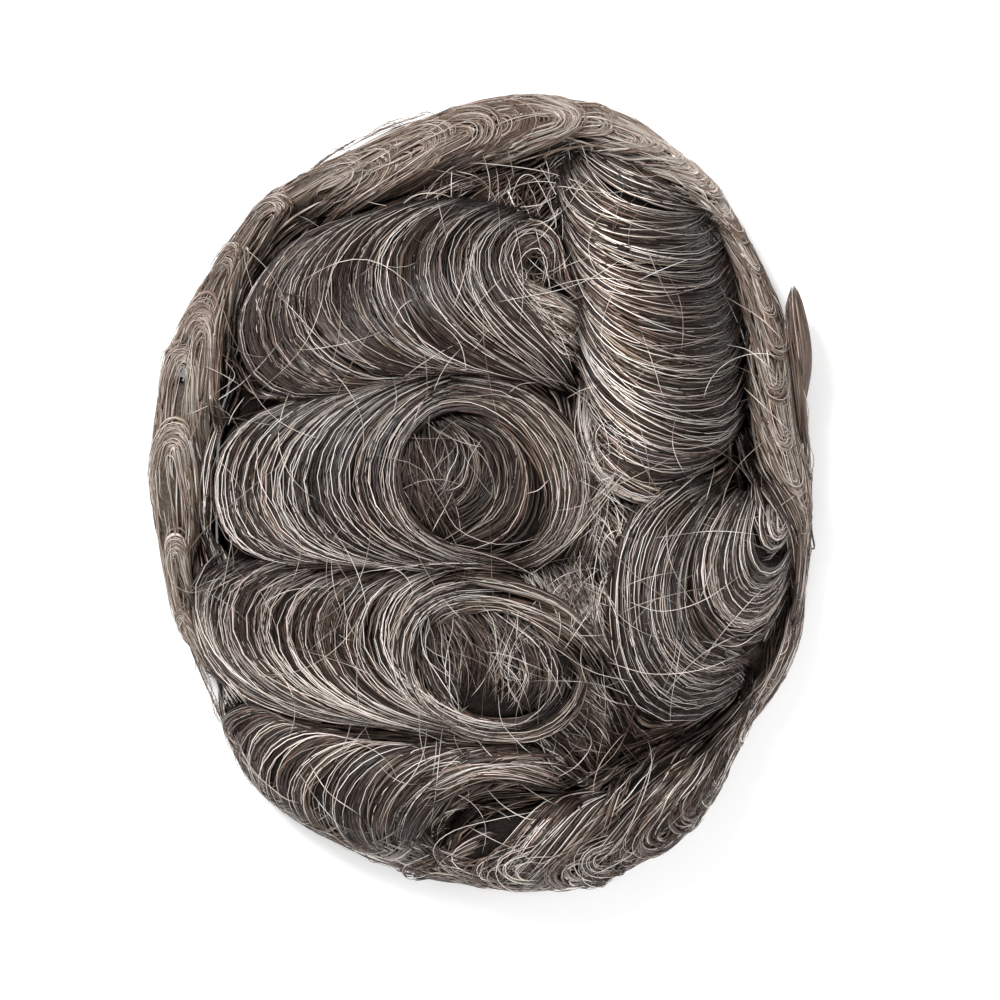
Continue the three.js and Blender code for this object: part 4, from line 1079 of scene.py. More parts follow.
# the swirls: an outer band, a bowl below, a band over the top and arcs inside
GUIDES["middle_left"] = [
    [(490, 380), (440, 394), (402, 430), (388, 480), (408, 527), (455, 556), (520, 574)],
    [(470, 400), (430, 412), (400, 445), (394, 485), (411, 525), (450, 550), (505, 560)],
    [(440, 415), (415, 430), (402, 455), (402, 485), (418, 520), (450, 542), (495, 550)],
]
GUIDES["middle_band"] = [
    [(392, 440), (408, 410), (440, 392), (485, 392), (530, 415), (562, 460), (570, 510), (548, 552)],
    [(400, 450), (414, 420), (442, 402), (482, 402), (520, 424), (548, 462), (555, 508), (535, 545)],
    [(406, 460), (418, 430), (442, 412), (478, 412), (510, 432), (534, 466), (540, 505), (522, 538)],
]
GUIDES["middle_outer"] = [
    [(440, 396), (500, 408), (540, 446), (553, 495), (536, 540), (488, 560)],
    [(450, 386), (515, 398), (560, 443), (572, 495), (553, 545), (503, 567)],
    [(470, 376), (532, 393), (578, 440), (590, 495), (569, 547), (520, 572)],
]
GUIDES["middle_inside"] = [
    [(432, 425), (440, 440), (444, 460), (438, 480), (428, 492)],
    [(438, 421), (460, 440), (468, 465), (460, 490), (438, 508)],
    [(446, 419), (478, 440), (490, 470), (480, 502), (448, 524)],
    [(454, 416), (495, 442), (508, 478), (495, 515), (453, 540)],
    [(462, 412), (510, 440), (525, 482), (509, 527), (462, 551)],
    [(468, 404), (522, 434), (543, 484), (526, 536), (474, 561)],
]
GUIDES["lower_left"] = [
    [(480, 578), (440, 586), (404, 610), (390, 650), (404, 695), (446, 722), (510, 738)],
    [(500, 588), (450, 591), (415, 611), (402, 650), (415, 694), (455, 722), (520, 737)],
    [(510, 598), (458, 599), (426, 617), (413, 650), (425, 690), (462, 717), (522, 729)],
]
GUIDES["lower_band"] = [
    [(415, 645), (428, 612), (468, 597), (520, 601), (570, 624), (606, 664)],
    [(426, 632), (450, 608), (490, 602), (535, 615), (578, 644), (602, 684)],
    [(436, 628), (462, 612), (498, 609), (535, 624), (568, 654), (585, 690)],
]
GUIDES["lower_outer"] = [
    [(460, 580), (505, 588), (552, 606), (590, 636), (610, 664)],
    [(470, 574), (520, 582), (565, 602), (597, 630), (612, 652)],
]
GUIDES["lower_bowl"] = [
    [(410, 655), (424, 702), (470, 735), (530, 739), (576, 713), (594, 668)],
    [(420, 652), (434, 696), (474, 726), (526, 729), (566, 703), (581, 662)],
    [(430, 652), (444, 692), (478, 716), (522, 718), (554, 694), (566, 655)],
]
GUIDES["lower_inside"] = [
    [(416, 632), (421, 660), (436, 690), (462, 712)],
    [(426, 622), (431, 650), (443, 678), (460, 702)],
    [(448, 609), (462, 636), (469, 664), (468, 690)],
    [(468, 606), (486, 634), (495, 664), (492, 694)],
    [(488, 610), (512, 638), (521, 672), (508, 702)],
    [(506, 614), (532, 640), (541, 675), (524, 708)],
    [(522, 616), (550, 642), (559, 678), (541, 712)],
]

GUIDES["middle_fill"] = [
    [(404, 446), (406, 484), (420, 522)],
    [(414, 434), (418, 480), (436, 530)],
    [(426, 428), (430, 478), (452, 534)],
    [(440, 424), (446, 476), (470, 536)],
]
GUIDES["lower_gap"] = [
    [(456, 577), (432, 582), (412, 592), (398, 606)],
    [(464, 581), (440, 585), (420, 595), (405, 612)],
    [(472, 586), (448, 590), (427, 600), (412, 618)],
]
GUIDES["inner_core"] = [
    [(758, 500), (757, 528), (763, 550), (776, 552), (789, 538)],
    [(766, 502), (766, 524), (771, 540), (780, 540), (789, 528)],
    [(774, 500), (775, 518), (778, 528), (783, 527), (790, 516)],
]
c = top["crown_curl"]
lock("crown_curl", [
    family(c, GUIDES["crown"], 1300, 11, grey=0.095, brown=(0.0, 0.47), bundle=0.46),
    family(c, GUIDES["crown_cup"], 100, 14, grey=0.12, brown=(0.12, 0.54), drift=0.10, past=(1, 0), lift=0.0, wander=0.8),
    scattered([(534, 268, 16, 22)], lambda x, y: c.read(c.z, x, y), 34, 15, (6, 14), (0, 180), 110, (-0.4, 0.8), 0.22, thick=0.75),
    family(c, GUIDES["crown_fan"], 170, 13, grey=0.20, brown=(0.25, 0.60), points=8, drift=0.08, past=(1, 0), lift=0.2),
    family(c, GUIDES["crown_eye"], 120, 12, grey=0.14, brown=(0.10, 0.54), drift=0.06, past=(2, 1), lift=0.4),
])
c = top["middle_curl"]
lock("middle_curl", [
    family(c, GUIDES["middle"], 740, 21, grey=0.10, brown=(-0.08, 0.38), bundle=0.46),
    family(c, GUIDES["middle_left"], 150, 22, grey=0.09, lift=0.2, brown=(0.0, 0.46)),
    family(c, GUIDES["middle_fill"], 110, 27, grey=0.04, brown=(0.02, 0.44), wander=0.8, drift=0.08, lift=-0.6, past=(2, 2), points=9, start=(0.0, 0.2), end=(0.7, 1.0)),
    family(c, GUIDES["middle_outer"], 230, 23, grey=0.08, brown=(0.02, 0.50), wander=0.8, drift=0.04, lift=0.3, past=(3, 2)),
    family(c, GUIDES["middle_inside"], 270, 24, grey=0.075, brown=(0.0, 0.48), wander=0.8, drift=0.06, lift=-0.2, past=(2, 2), points=11, start=(0.0, 0.2), end=(0.7, 1.0)),
    family(c, GUIDES["middle_band"], 110, 25, grey=0.06, brown=(0.06, 0.50), wander=0.9, drift=0.08, lift=0.4, start=(0.0, 0.4), end=(0.5, 1.0)),
    scattered([(440, 470, 34, 36)], lambda x, y: c.read(c.z, x, y), 34, 26, (10, 22), (60, 130), 90, (-0.6, 1.0), 0.2, thick=0.7),
])
c = top["lower_curl"]
lock("lower_curl", [
    family(c, GUIDES["lower"], 740, 31, grey=0.155, brown=(-0.02, 0.48), bundle=0.46),
    family(c, GUIDES["lower_left"], 150, 32, grey=0.11, lift=0.2, brown=(0.0, 0.50)),
    family(c, GUIDES["lower_gap"], 40, 38, grey=0.08, brown=(0.04, 0.50), wander=0.6, points=10, lift=0.2, past=(3, 3)),
    family(c, GUIDES["lower_bowl"], 190, 33, grey=0.08, brown=(0.04, 0.52), wander=0.8, drift=0.07, lift=0.0, start=(0.0, 0.3), end=(0.6, 1.0)),
    family(c, GUIDES["lower_outer"], 110, 34, grey=0.08, brown=(0.15, 0.56), wander=0.5, points=10, lift=0.6, past=(3, 3)),
    family(c, GUIDES["lower_inside"], 290, 35, grey=0.15, brown=(0.04, 0.54), wander=0.9, drift=0.07, lift=-0.1, past=(2, 2), points=10, start=(0.0, 0.15), end=(0.7, 1.0)),
    family(c, GUIDES["lower_band"], 120, 36, grey=0.10, brown=(0.10, 0.52), wander=0.8, drift=0.06, lift=0.6, start=(0.0, 0.4), end=(0.5, 1.0)),
    scattered([(505, 648, 42, 30)], lambda x, y: c.read(c.z, x, y), 40, 37, (10, 24), (60, 130), 90, (-0.2, 1.4), 0.4, thick=0.7),
])
lock("right_roll", [family(top["right_roll"], GUIDES["roll"], 1220, 41, grey=0.13, brown=(-0.04, 0.44), bundle=0.46)], hair=ROLL_PAINTED_SHEEN)
lock("right_curl", [family(top["right_curl"], GUIDES["right"], 660, 51, grey=0.09, brown=(-0.10, 0.38), bundle=0.46)])
lock("right_inner_curl", [
    family(top["right_inner_curl"], GUIDES["inner"], 370, 61, grey=0.10, brown=(-0.02, 0.46), bundle=0.46),
    family(top["right_inner_curl"], GUIDES["inner_core"], 60, 63, grey=0.16, brown=(0.08, 0.52), points=10, drift=0.08, lift=0.2),
    family(top["right_inner_curl"], GUIDES["inner_hollow"], 60, 62, grey=0.15, brown=(0.05, 0.50), points=10),
])

# ---- rim locks ----
GUIDES["wave_end"] = [
    [(415, 768), (460, 752), (510, 750), (560, 762), (580, 778)],
    [(418, 784), (466, 766), (516, 763), (556, 774), (574, 784)],
    [(424, 802), (472, 784), (515, 779), (545, 786), (558, 792)],
]
GUIDES["front_twist"] = [
    [(606, 776), (572, 784), (538, 806), (508, 836), (478, 866)],
    [(622, 777), (588, 785), (553, 811), (523, 846), (490, 880)],
    [(634, 786), (603, 796), (570, 822), (540, 856), (506, 886)],
    [(640, 802), (614, 812), (588, 836), (562, 862), (532, 888)],
]
GUIDES["front_ring"] = [
    [(452, 812), (432, 834), (436, 860), (470, 880), (520, 886)],
    [(500, 832), (466, 838), (448, 854), (466, 872), (510, 876)],
]
GUIDES["edge_left"] = [
    [(186, 606), (194, 640), (212, 676), (228, 704)],
    [(196, 600), (203, 636), (222, 672), (244, 700)],
    [(206, 596), (212, 634), (232, 668), (262, 698)],
]
GUIDES["edge_front"] = [
    [(352, 842), (392, 862), (432, 877), (478, 886)],
    [(362, 832), (400, 850), (438, 864), (484, 874)],
    [(380, 824), (414, 838), (448, 850), (490, 862)],
]
GUIDES["edge_twist"] = [
    [(612, 778), (598, 812), (585, 850), (572, 884)],
    [(624, 776), (612, 812), (602, 848), (592, 882)],
    [(636, 774), (628, 808), (618, 846), (612, 878)],
]
GUIDES["edge_right"] = [
    [(772, 658), (750, 688), (728, 712), (706, 732)],
    [(780, 664), (758, 694), (738, 720), (716, 742)],
    [(786, 676), (766, 704), (748, 726), (726, 752)],
]
GUIDES["edge_hollow"] = [
    [(758, 488), (774, 512), (786, 540), (790, 572)],
    [(768, 484), (784, 508), (796, 536), (799, 570)],
    [(778, 480), (794, 506), (804, 536), (806, 570)],
]
GUIDES["edge_gap"] = [
    [(414, 812), (430, 832), (448, 850)],
    [(404, 822), (420, 842), (440, 862)],
    [(396, 832), (414, 850), (436, 868)],
]
GUIDES["edge_corner"] = [
    [(806, 596), (800, 640), (784, 680), (758, 722)],
    [(798, 602), (791, 643), (774, 684), (748, 724)],
    [(788, 610), (780, 648), (762, 688), (738, 726)],
]
GUIDES["edge_top"] = [
    [(560, 98), (600, 105), (642, 122), (680, 148)],
    [(564, 104), (604, 112), (642, 130), (674, 154)],
    [(566, 112), (606, 120), (640, 138), (668, 160)],
]
GUIDES["front_right_fill"] = [
    [(694, 738), (668, 758), (642, 782), (618, 808)],
    [(706, 744), (682, 770), (656, 796), (630, 822)],
    [(718, 742), (699, 776), (675, 806), (648, 832)],
    [(730, 730), (716, 768), (697, 802), (672, 830)],
]
EDGE = Edge()
lock("front_left_wave", [
    family(rim["front_left_wave"], GUIDES["wave"], 590, 71, grey=0.13, end=(0.8, 1.0), points=14, brown=(0.0, 0.52), bundle=0.52, wander=0.3, deep=0.5, lift=0.3),
    family(rim["front_left_wave"], GUIDES["wave_end"], 130, 73, grey=0.14, end=(0.7, 1.0), lift=0.8, points=11, drift=0.06, deep=1.0, wander=0.7),
    family(EDGE, GUIDES["edge_left"], 60, 74, grey=0.2, brown=(0.3, 0.62), points=9),
    family(EDGE, GUIDES["edge_gap"], 50, 76, grey=0.0, brown=(0.0, 0.44), points=8, past=(2, 2), lift=0.4, stray=0.0),
    family(EDGE, GUIDES["edge_front"], 70, 75, grey=0.12, brown=(0.2, 0.60), points=9),
    tufts(rim["front_left_wave"], 60, 72, -1, edge=1.0, grey=0.08, brown=(0.4, 0.64), span=(2.0, 60.0)),
    skirt(rim["front_left_wave"], 110, 77, -1, brown=(0.1, 0.52), top=0.62),
], 0.9, 2.6)
lock("front_roll", [
    family(rim["front_roll"], GUIDES["front_ring"], 140, 81, grey=0.10, brown=(0.04, 0.48), points=12, drift=0.05, deep=0.5, lift=0.2),
    family(rim["front_roll"], GUIDES["front_twist"], 300, 83, grey=0.08, lift=0.8, points=12, drift=0.06, brown=(0.0, 0.54), wander=0.7, deep=1.0),
    family(EDGE, GUIDES["edge_twist"], 70, 84, grey=0.12, points=9),
    tufts(rim["front_roll"], 100, 85, -1, spacing=9, run=9, tail=7, middle=0.72, size=0.26, edge=0.1, grey=0.3, brown=(0.3, 0.62)),
    tufts(rim["front_roll"], 40, 82, -1, edge=1.0, grey=0.08, brown=(0.4, 0.64), span=(4.0, rim["front_roll"].length)),
    skirt(rim["front_roll"], 90, 86, -1, brown=(0.1, 0.54), top=0.66),
], 0.9, 2.6)
lock("front_right_rim", [skirt(rim["front_right_rim"], 60, 92, -1, brown=(0.2, 0.58), top=0.78), family(rim["front_right_rim"], GUIDES["front_right_fill"], 110, 93, grey=0.13, brown=(0.08, 0.58), points=11, deep=0.8, lift=0.3, wander=0.8, drift=0.05, start=(0.0, 0.2), end=(0.7, 1.0)), tufts(rim["front_right_rim"], 365, 91, -1, run=30, tail=5, spacing=7, lean=0.30, middle=0.78, size=0.20, grey=0.15, brown=(0.05, 0.60), span=(-6.0, rim["front_right_rim"].length + 3))], 0.9, 2.6)
lock("right_front_rim", [
    skirt(rim["right_front_rim"], 50, 105, -1, brown=(0.15, 0.58), top=0.80, past=5.0),
    tufts(rim["right_front_rim"], 190, 101, -1, run=22, spacing=12, edge=0.45, seam=0.35, grey=0.14, brown=(0.22, 0.60), span=(-3.0, rim["right_front_rim"].length + 5)),
    family(EDGE, GUIDES["edge_corner"], 70, 104, grey=0.10, brown=(0.35, 0.62), points=9, lift=0.6, past=(2, 2)),
    family(EDGE, GUIDES["edge_right"], 70, 102, grey=0.12, brown=(0.1, 0.56), points=9),
    family(EDGE, GUIDES["edge_hollow"], 80, 103, grey=0.16, brown=(0.1, 0.60), points=9),
], 0.9, 2.4, HAIR_PAINTED_HAZE)
# the right, back and left rims take lighter brown ranges as painted haze of light over them
lock("right_rim", [skirt(rim["right_rim"], 45, 112, 1, brown=(0.3, 0.66)), tufts(rim["right_rim"], 420, 111, 1, run=34, spacing=9, lean=0.24, edge=0.34, seam=0.22, size=0.26, middle=0.6, grey=0.22, brown=(0.44, 0.78), span=(-3.0, rim["right_rim"].length - 1))], 0.9, 2.6, HAIR_PAINTED_HAZE)
lock("back_right_rim", [skirt(rim["back_right_rim"], 35, 123, 1, brown=(0.64, 0.82)), family(EDGE, GUIDES["edge_top"], 60, 122, grey=0.14, brown=(0.62, 0.80), points=9, lift=0.6, past=(3, 3)), tufts(rim["back_right_rim"], 390, 121, 1, run=18, tail=5, spacing=7, edge=0.34, seam=0.16, lean=0.55, middle=0.66, size=0.2, grey=0.34, brown=(0.70, 0.86), span=(-7.0, rim["back_right_rim"].length + 4))], 0.9, 2.6, HAIR_PAINTED_HAZE)
lock("back_rim", [skirt(rim["back_rim"], 45, 132, 1, brown=(0.36, 0.66)), tufts(rim["back_rim"], 430, 131, 1, run=26, spacing=16, edge=0.25, seam=0.2, grey=0.18, brown=(0.52, 0.78), span=(-7.0, rim["back_rim"].length + 7))], 0.9, 2.6, HAIR_PAINTED_HAZE)
lock("back_left_rim", [skirt(rim["back_left_rim"], 45, 142, 1, brown=(0.36, 0.66)), tufts(rim["back_left_rim"], 385, 141, 1, run=24, spacing=17, edge=0.25, seam=0.2, grey=0.16, brown=(0.48, 0.76), span=(-4.0, rim["back_left_rim"].length + 7))], 0.9, 2.6, HAIR_PAINTED_HAZE)
lock("left_rim", [skirt(rim["left_rim"], 45, 152, 1, brown=(0.40, 0.70)), tufts(rim["left_rim"], 390, 151, 1, run=34, spacing=24, edge=0.25, seam=0.22, grey=0.20, brown=(0.60, 0.82), span=(-3.0, rim["left_rim"].length + 5))], 0.9, 2.6, HAIR_PAINTED_HAZE)

# tuft at the side: a thin blade of hair standing away from the rim
rng = np.random.default_rng(161)
rows = table_of([
    # inner u, v    outer u, v   seen from above, from the tip down to where it leaves the rim
    (788, 289, 797, 283, 0, 0), (785, 308, 803, 306, 0, 0), (787, 340, 810, 340, 0, 0),
    (792, 367, 811, 367, 0, 0), (796, 392, 807, 392, 0, 0), (799, 412, 803, 412, 0, 0),
])
n, points = 170, 11
t = np.linspace(0, 1, points)[None, :]
first, last = rng.uniform(0.0, 0.14, n)[:, None], rng.uniform(0.72, 1.0, n)[:, None]
where = last + (first - last) * t
r = curve(rows, where * (len(rows) - 1))
side = rng.uniform(-0.95, 0.95, n)[:, None]
height = np.where(rng.uniform(0, 1, n) < 0.7, 1, -1)[:, None] * np.sqrt(1 - side**2) * rng.uniform(0.85, 1.08, n)[:, None]
close = 1 - 0.55 * np.clip(1 - where / 0.22, 0, 1) ** 2
deep = close * (1 - 0.72 * np.clip((where - 0.40) / 0.60, 0, 1) ** 1.4)
middle, half = (r[..., :2] + r[..., 2:4]) / 2, (r[..., 2:4] - r[..., :2]) / 2
xy = middle + half * (side * close)[..., None]
z = TUFT_MIDDLE_Z - 3.0 * where + TUFT_HALF_Z * height * deep + meander(rng, n, points, 0.2)
kinds = Mix(rng, n, 0.12, rng.uniform(0, 1, n), (0.28, 0.66), 0.6)
# hair between the blade and the rim, gathered at its lower end
n, points = 190, 10
fan = curve(np.array([
    [(797, 446), (788, 418), (782, 384), (779, 352), (778, 330)],
    [(799, 440), (794, 408), (789, 374), (785, 345), (783, 322)],
    [(804, 448), (800, 406), (796, 368), (792, 338), (789, 312)],
    [(808, 444), (805, 400), (804, 362), (800, 330), (795, 302)],
], float), rng.uniform(0, 3, n) ** 1.0)
at = rng.uniform(0, 0.1, n)[:, None] + (rng.uniform(0.65, 1.0, n)[:, None] - 0.1) * np.linspace(0, 1, points)[None]
u = np.array([np.interp(a * 4, range(5), f[:, 0]) for a, f in zip(at, fan)])
v = np.array([np.interp(a * 4, range(5), f[:, 1]) for a, f in zip(at, fan)])
fx, fy = place(u, v)
fz = 22.0 - 0.2 * (u - 780) + rng.uniform(-5, 3, n)[:, None] + meander(rng, n, points, 0.3)
between = Mix(rng, n, 0.20, np.full(n, 0.5), (0.45, 0.70), 0.4)
make_piece("right_tuft", Strands().add((np.concatenate([xy, z[..., None]], -1), kinds.wide, kinds.high, kinds.tones), (np.stack([fx, fy, fz], -1), between.wide, between.high, between.tones)), None, [HAIR_PAINTED_HAZE, MASS_PAINTED_HAZE], ["right_tuft"])

# ---- under layer ----
BED = {
    "bed_side": [  # between the middle swirl and the right roll
        [(574, 392), (572, 440), (578, 490), (572, 532), (546, 566)],
        [(588, 398), (585, 450), (590, 500), (580, 546), (558, 582)],
        [(600, 428), (600, 470), (606, 512), (598, 556), (580, 600)],
    ],
    "bed_roll": [
        [(580, 380), (578, 430), (596, 478), (640, 504), (690, 496)],
        [(590, 395), (592, 440), (614, 474), (655, 492), (700, 484)],
    ],
    "bed_cross": [
        [(624, 470), (600, 502), (572, 537), (540, 562)],
        [(610, 470), (590, 504), (562, 536), (530, 556)],
    ],
    "bed_right": [
        [(598, 484), (618, 506), (638, 536), (645, 560)],
        [(592, 512), (606, 532), (620, 556), (628, 580)],
        [(586, 540), (598, 556), (608, 578), (612, 602)],
    ],
    "bed_low": [
        [(576, 552), (594, 580), (604, 612), (606, 644)],
        [(560, 562), (576, 590), (590, 620), (600, 650)],
        [(540, 568), (556, 594), (574, 622), (592, 654)],
        [(520, 574), (536, 596), (552, 616), (572, 640)],
    ],
    "bed_fan": [
        [(582, 664), (594, 676), (606, 694), (612, 712)],
        [(578, 690), (592, 702), (606, 720), (612, 738)],
        [(570, 714), (586, 728), (600, 746), (606, 764)],
        [(552, 730), (568, 744), (582, 762), (590, 780)],
        [(530, 736), (544, 750), (556, 766), (564, 778)],
    ],
    "bed_back": [
        [(330, 246), (352, 226), (385, 206), (420, 196)],
        [(380, 216), (410, 198), (440, 186), (470, 180)],
        [(430, 208), (452, 192), (478, 180), (505, 172)],
        [(480, 212), (500, 194), (522, 180), (545, 170)],
        [(530, 218), (545, 202), (560, 186), (574, 172)],
        [(556, 236), (562, 216), (572, 196), (584, 180)],
    ],
    "bed_eye": [
        [(505, 806), (470, 800), (440, 812), (428, 838), (440, 862)],
        [(520, 822), (480, 814), (454, 826), (446, 848), (460, 868)],
    ],
    "bed_front": [
        [(600, 778), (618, 768), (640, 760), (664, 752)],
        [(612, 800), (636, 782), (660, 768), (690, 752)],
    ],
    "bed_left": [
        [(212, 560), (200, 520), (204, 470), (212, 430), (222, 400)],
        [(222, 556), (208, 522), (210, 474), (218, 436), (230, 402)],
    ],
    "bed_slit": [
        [(224, 562), (214, 540), (212, 510), (216, 478)],
        [(216, 556), (208, 530), (207, 500), (212, 468)],
        [(206, 548), (201, 520), (201, 490), (206, 456)],
    ],
    "bed_notch": [
        [(545, 160), (560, 149), (576, 145), (594, 148)],
        [(550, 170), (564, 158), (582, 153), (598, 158)],
    ],
    "bed_corner": [
        [(728, 664), (742, 674), (756, 688), (764, 704)],
        [(736, 656), (750, 668), (764, 682), (772, 698)],
        [(722, 676), (736, 686), (748, 700), (754, 716)],
        [(718, 640), (734, 648), (750, 660), (762, 674)],
    ],
    "bed_inner": [
        [(735, 440), (745, 470), (762, 500), (785, 522)],
        [(745, 430), (758, 460), (774, 488), (796, 508)],
    ],
}
bed = Strands()
for key, count, grey, rise, brown, length in [
    ("bed_side", 130, 0.16, 1.4, (0.25, 0.58), 12), ("bed_roll", 60, 0.22, 2.2, (0.25, 0.58), 12), ("bed_cross", 34, 0.55, 3.4, (0.4, 0.64), 11),
    ("bed_right", 90, 0.45, 1.0, (0.30, 0.64), 9), ("bed_low", 160, 0.46, 1.0, (0.30, 0.65), 9), ("bed_fan", 160, 0.12, 1.0, (0.20, 0.58), 9),
    ("bed_back", 180, 0.07, 0.7, (0.15, 0.56), 9), ("bed_eye", 60, 0.10, 0.6, (0.02, 0.45), 10), ("bed_front", 60, 0.06, 0.6, (0.02, 0.42), 9),
    ("bed_left", 60, 0.10, 0.6, (0.05, 0.50), 10), ("bed_inner", 70, 0.12, 0.8, (0.05, 0.50), 10), ("bed_corner", 40, 0.05, 1.2, (0.0, 0.45), 9),
    ("bed_slit", 70, 0.06, 0.8, (0.0, 0.46), 9), ("bed_notch", 40, 0.05, 1.2, (0.0, 0.46), 9),
]:
    bed.add(family(GROUND, BED[key], count, 200 + len(bed.groups), grey=grey, brown=brown, lift=rise, points=length, wander=0.8, drift=0.07, stray=0.10, deep=1.6, dive=(1.0, 0.2), end=(0.6, 1.0), past=(1, 1)))
for patches, count, seed, options in [
    ([(604, 500, 20, 40), (604, 440, 14, 20)], 60, 171, dict(heading=(20, 160), rise=(1.5, 4.0), grey=0.5, bend=80, thick=0.8)),
    ([(585, 590, 22, 36), (560, 600, 24, 20)], 110, 175, dict(heading=(30, 150), rise=(1.5, 4.0), grey=0.6, bend=80, thick=0.8)),
    ([(500, 190, 60, 14), (440, 192, 50, 12), (560, 180, 22, 16)], 30, 172, dict(heading=(20, 100), rise=(0.8, 2.5), grey=0.35, bend=80, thick=0.8)),
    ([(590, 715, 24, 36)], 40, 173, dict(heading=(-70, -20), rise=(1.0, 3.0), grey=0.35)),
    ([(650, 745, 45, 22), (222, 390, 12, 36), (475, 828, 36, 18), (765, 470, 16, 30)], 60, 174, dict(heading=(0, 180), rise=(0.5, 2.5), grey=0.10, length=(10, 24), bend=80, thick=0.8)),
]:
    bed.add(scattered(patches, lambda x, y: GROUND.read(GROUND.floor, x, y), count, seed, **options))
flow = []
for key, guides in list(GUIDES.items()) + list(BED.items()):
    for g in guides:
        q = curve(np.array(g, float), np.linspace(0, len(g) - 1, 16))
        flow.append(np.stack(place(q[:, 0], q[:, 1]), -1))
for r in rim.values():
    for over in (0.1, 0.5):
        flow.append(r.bare(np.linspace(0, r.length, 16), np.full(16, over))[:, :2])
bed.add(undercoat(1080, 177, flow))
bed = COVER.seen(bed)
# hair that lies round the edge under the rim locks and closes the gaps between them
rng = np.random.default_rng(176)
n, points = 300, 9
start, sweep = rng.uniform(0, 2 * math.pi, n)[:, None], rng.uniform(0.22, 0.42, n)[:, None]
turn = start + sweep * (np.linspace(0, 1, points)[None] - 0.5)
share = rng.uniform(0.0, 1.0, n)[:, None]
r = outline_radius(np.cos(turn), np.sin(turn)) - 20.0 + 14.5 * share + meander(rng, n, points, 0.5)
z = 17.0 - 11.0 * share + rng.uniform(-2.5, 2.5, n)[:, None] + meander(rng, n, points, 0.5)
bed.add((np.stack([r * np.cos(turn), r * np.sin(turn), z], -1), rng.uniform(0.8, 1.3, n), 0.3, rng.uniform(0.15, 0.50, n)))
# and low along the outline, where one rim lock meets the next
n = 90
start, sweep = rng.uniform(0, 2 * math.pi, n)[:, None], rng.uniform(0.18, 0.36, n)[:, None]
turn = start + sweep * (np.linspace(0, 1, points)[None] - 0.5)
r = outline_radius(np.cos(turn), np.sin(turn)) - rng.uniform(1.2, 4.5, n)[:, None] + meander(rng, n, points, 0.3)
z = rng.uniform(1.4, 7.0, n)[:, None] + meander(rng, n, points, 0.6)
bed.add((np.stack([r * np.cos(turn), r * np.sin(turn), z], -1), rng.uniform(0.5, 1.0, n), 0.3, rng.uniform(0.25, 0.58, n)))
make_piece("under_layer", bed, inner_mass("under_layer", 0.4, 3.0), [HAIR, MASS_PAINTED_SHADE], ["under_layer"])

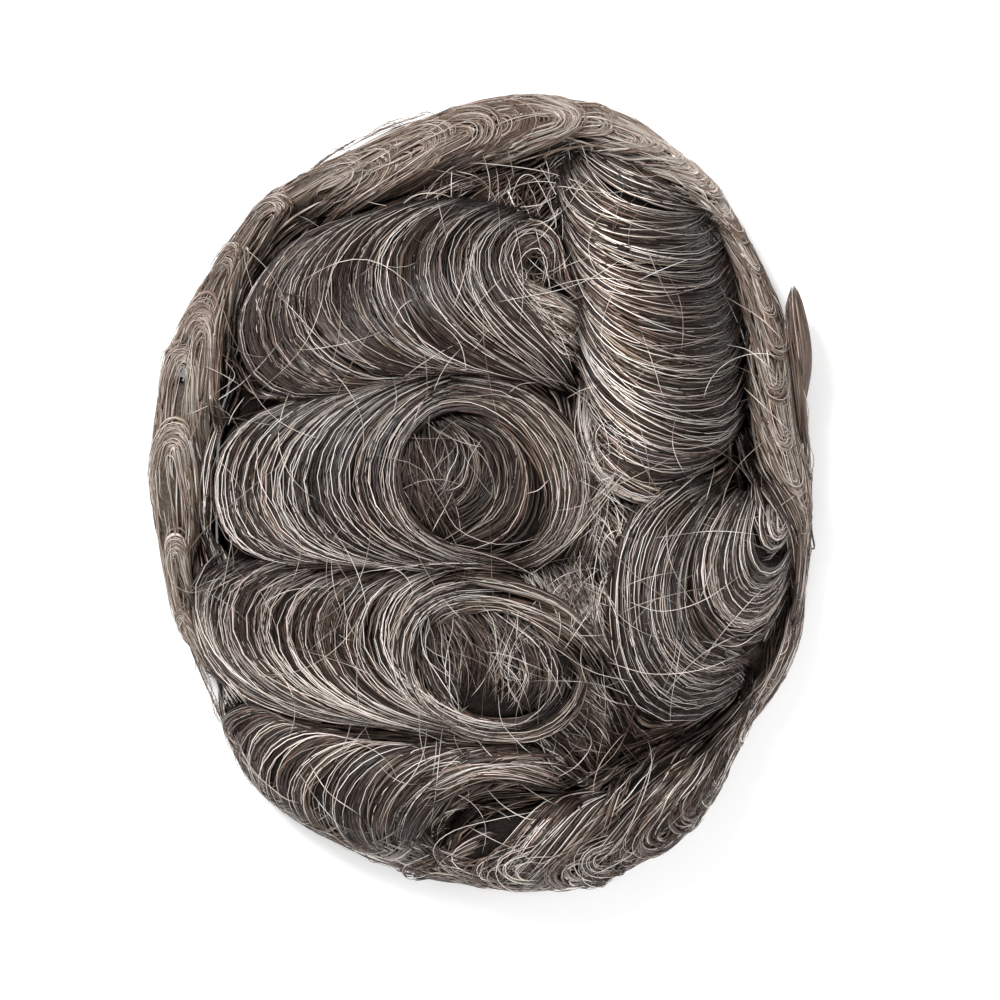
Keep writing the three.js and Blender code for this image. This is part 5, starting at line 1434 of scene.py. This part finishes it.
# ---- flyaway hairs ----
LONG_HAIRS = [
    [(505, 240), (513, 195), (522, 178), (535, 180), (548, 205), (556, 226)], [(398, 212), (415, 198), (440, 196), (468, 207)],
    [(456, 173), (480, 181), (497, 205), (500, 240)], [(483, 155), (490, 185), (487, 214)], [(507, 150), (511, 165), (514, 180)],
    [(556, 222), (540, 240), (523, 252)], [(457, 204), (440, 225), (428, 250)], [(436, 190), (441, 215), (447, 240)],
    [(537, 192), (560, 189), (590, 194), (612, 195)], [(581, 145), (592, 175), (612, 200)], [(568, 150), (575, 180), (600, 210), (640, 232)],
    [(565, 400), (580, 392), (598, 386)], [(575, 460), (605, 470), (635, 486), (662, 500)], [(577, 480), (595, 489), (612, 500), (640, 516)],
    [(625, 470), (600, 502), (570, 540), (535, 566)], [(618, 482), (590, 520), (560, 552), (528, 575)], [(567, 632), (585, 634), (606, 633)],
    [(528, 628), (560, 650), (592, 670), (632, 680)], [(582, 640), (580, 662), (590, 688), (612, 700), (632, 704)], [(647, 738), (651, 762), (640, 800), (620, 840), (598, 858), (565, 863), (530, 860), (498, 868)],
    [(654, 752), (642, 785), (628, 818)], [(437, 738), (436, 755), (433, 776)], [(642, 832), (632, 852), (605, 868), (578, 878)], [(468, 824), (495, 838), (520, 850), (546, 872)],
    [(440, 866), (434, 846), (455, 828), (500, 816), (542, 808)], [(725, 298), (760, 320), (792, 352)], [(742, 388), (765, 410), (792, 436)], [(725, 346), (748, 352), (776, 376)],
    [(226, 360), (236, 378), (214, 396)], [(204, 366), (222, 374), (242, 386)], [(246, 398), (236, 412), (230, 426)], [(245, 534), (262, 540), (285, 552)],
    [(206, 594), (222, 585), (248, 572)], [(420, 700), (421, 735), (428, 766)], [(498, 692), (502, 720), (520, 742), (532, 752)], [(380, 456), (420, 468), (442, 502), (460, 530), (500, 544), (545, 536)],
    [(452, 545), (480, 552), (510, 562), (545, 580)], [(432, 392), (420, 410), (410, 440)], [(425, 350), (428, 380), (428, 404)], [(395, 380), (398, 400), (392, 420)],
    [(508, 395), (520, 386), (538, 384)], [(482, 440), (470, 460), (462, 484), (445, 492)], [(548, 480), (538, 490), (525, 494)], [(402, 300), (420, 340), (450, 366)],
    [(645, 250), (662, 290), (680, 320)], [(690, 260), (660, 272), (632, 285)], [(612, 168), (650, 178), (690, 160), (712, 150)], [(700, 640), (735, 645), (762, 628)],
    [(626, 600), (660, 610), (700, 600), (745, 570)], [(664, 520), (668, 560), (690, 600), (730, 640)], [(606, 660), (650, 672), (700, 668), (742, 652)], [(345, 585), (350, 620), (372, 655)],
    [(260, 440), (262, 480), (285, 520)], [(262, 605), (290, 590), (330, 585)], [(355, 700), (400, 720), (450, 742)], [(310, 760), (330, 790), (360, 812)],
    [(300, 770), (320, 800), (345, 830)], [(560, 700), (590, 735), (580, 760), (556, 776)], [(172, 520), (166, 548), (172, 580), (190, 592), (212, 588)],
]
fly = Strands().add(
    traced(LONG_HAIRS, 1.0, 190, 15),
    scattered([(480, 480, 285, 335)], GROUND.over, 230, 181, length=(12, 42), heading=(0, 360), bend=60, rise=(-0.4, 1.8), grey=0.75, tilt=0.01, points=11, thick=0.8, limit=0.985),
)
# soft edge: single hairs just outside the outline
rng = np.random.default_rng(191)
n, points = 300, 9
start, sweep = rng.uniform(0, 2 * math.pi, n)[:, None], rng.uniform(0.05, 0.18, n)[:, None]
turn = start + sweep * (np.linspace(0, 1, points)[None] - 0.5)
bow = rng.uniform(0.0, 2.4, n)[:, None] * (1 - (2 * np.linspace(0, 1, points)[None] - 1) ** 2)
r = outline_radius(np.cos(turn), np.sin(turn)) * 0.965 + bow + meander(rng, n, points, 0.2)
z = rng.uniform(5.0, 26.0, n)[:, None] + rng.normal(0, 2.5, n)[:, None] * np.linspace(-0.5, 0.5, points)[None]
fuzz = Mix(rng, n, 0.4, rng.uniform(0, 1, n), (0.45, 0.66), 0.0)
fly.add((np.stack([r * np.cos(turn), r * np.sin(turn), z], -1), fuzz.wide * 0.8, fuzz.high * 0.8, fuzz.tones))
make_piece("flyaway_hairs", fly, None, [HAIR])

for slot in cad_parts["base_cap"].material_slots:
    slot.material = film_material()
print("TRIANGLES", triangles, flush=True)

bpy.context.view_layer.update()
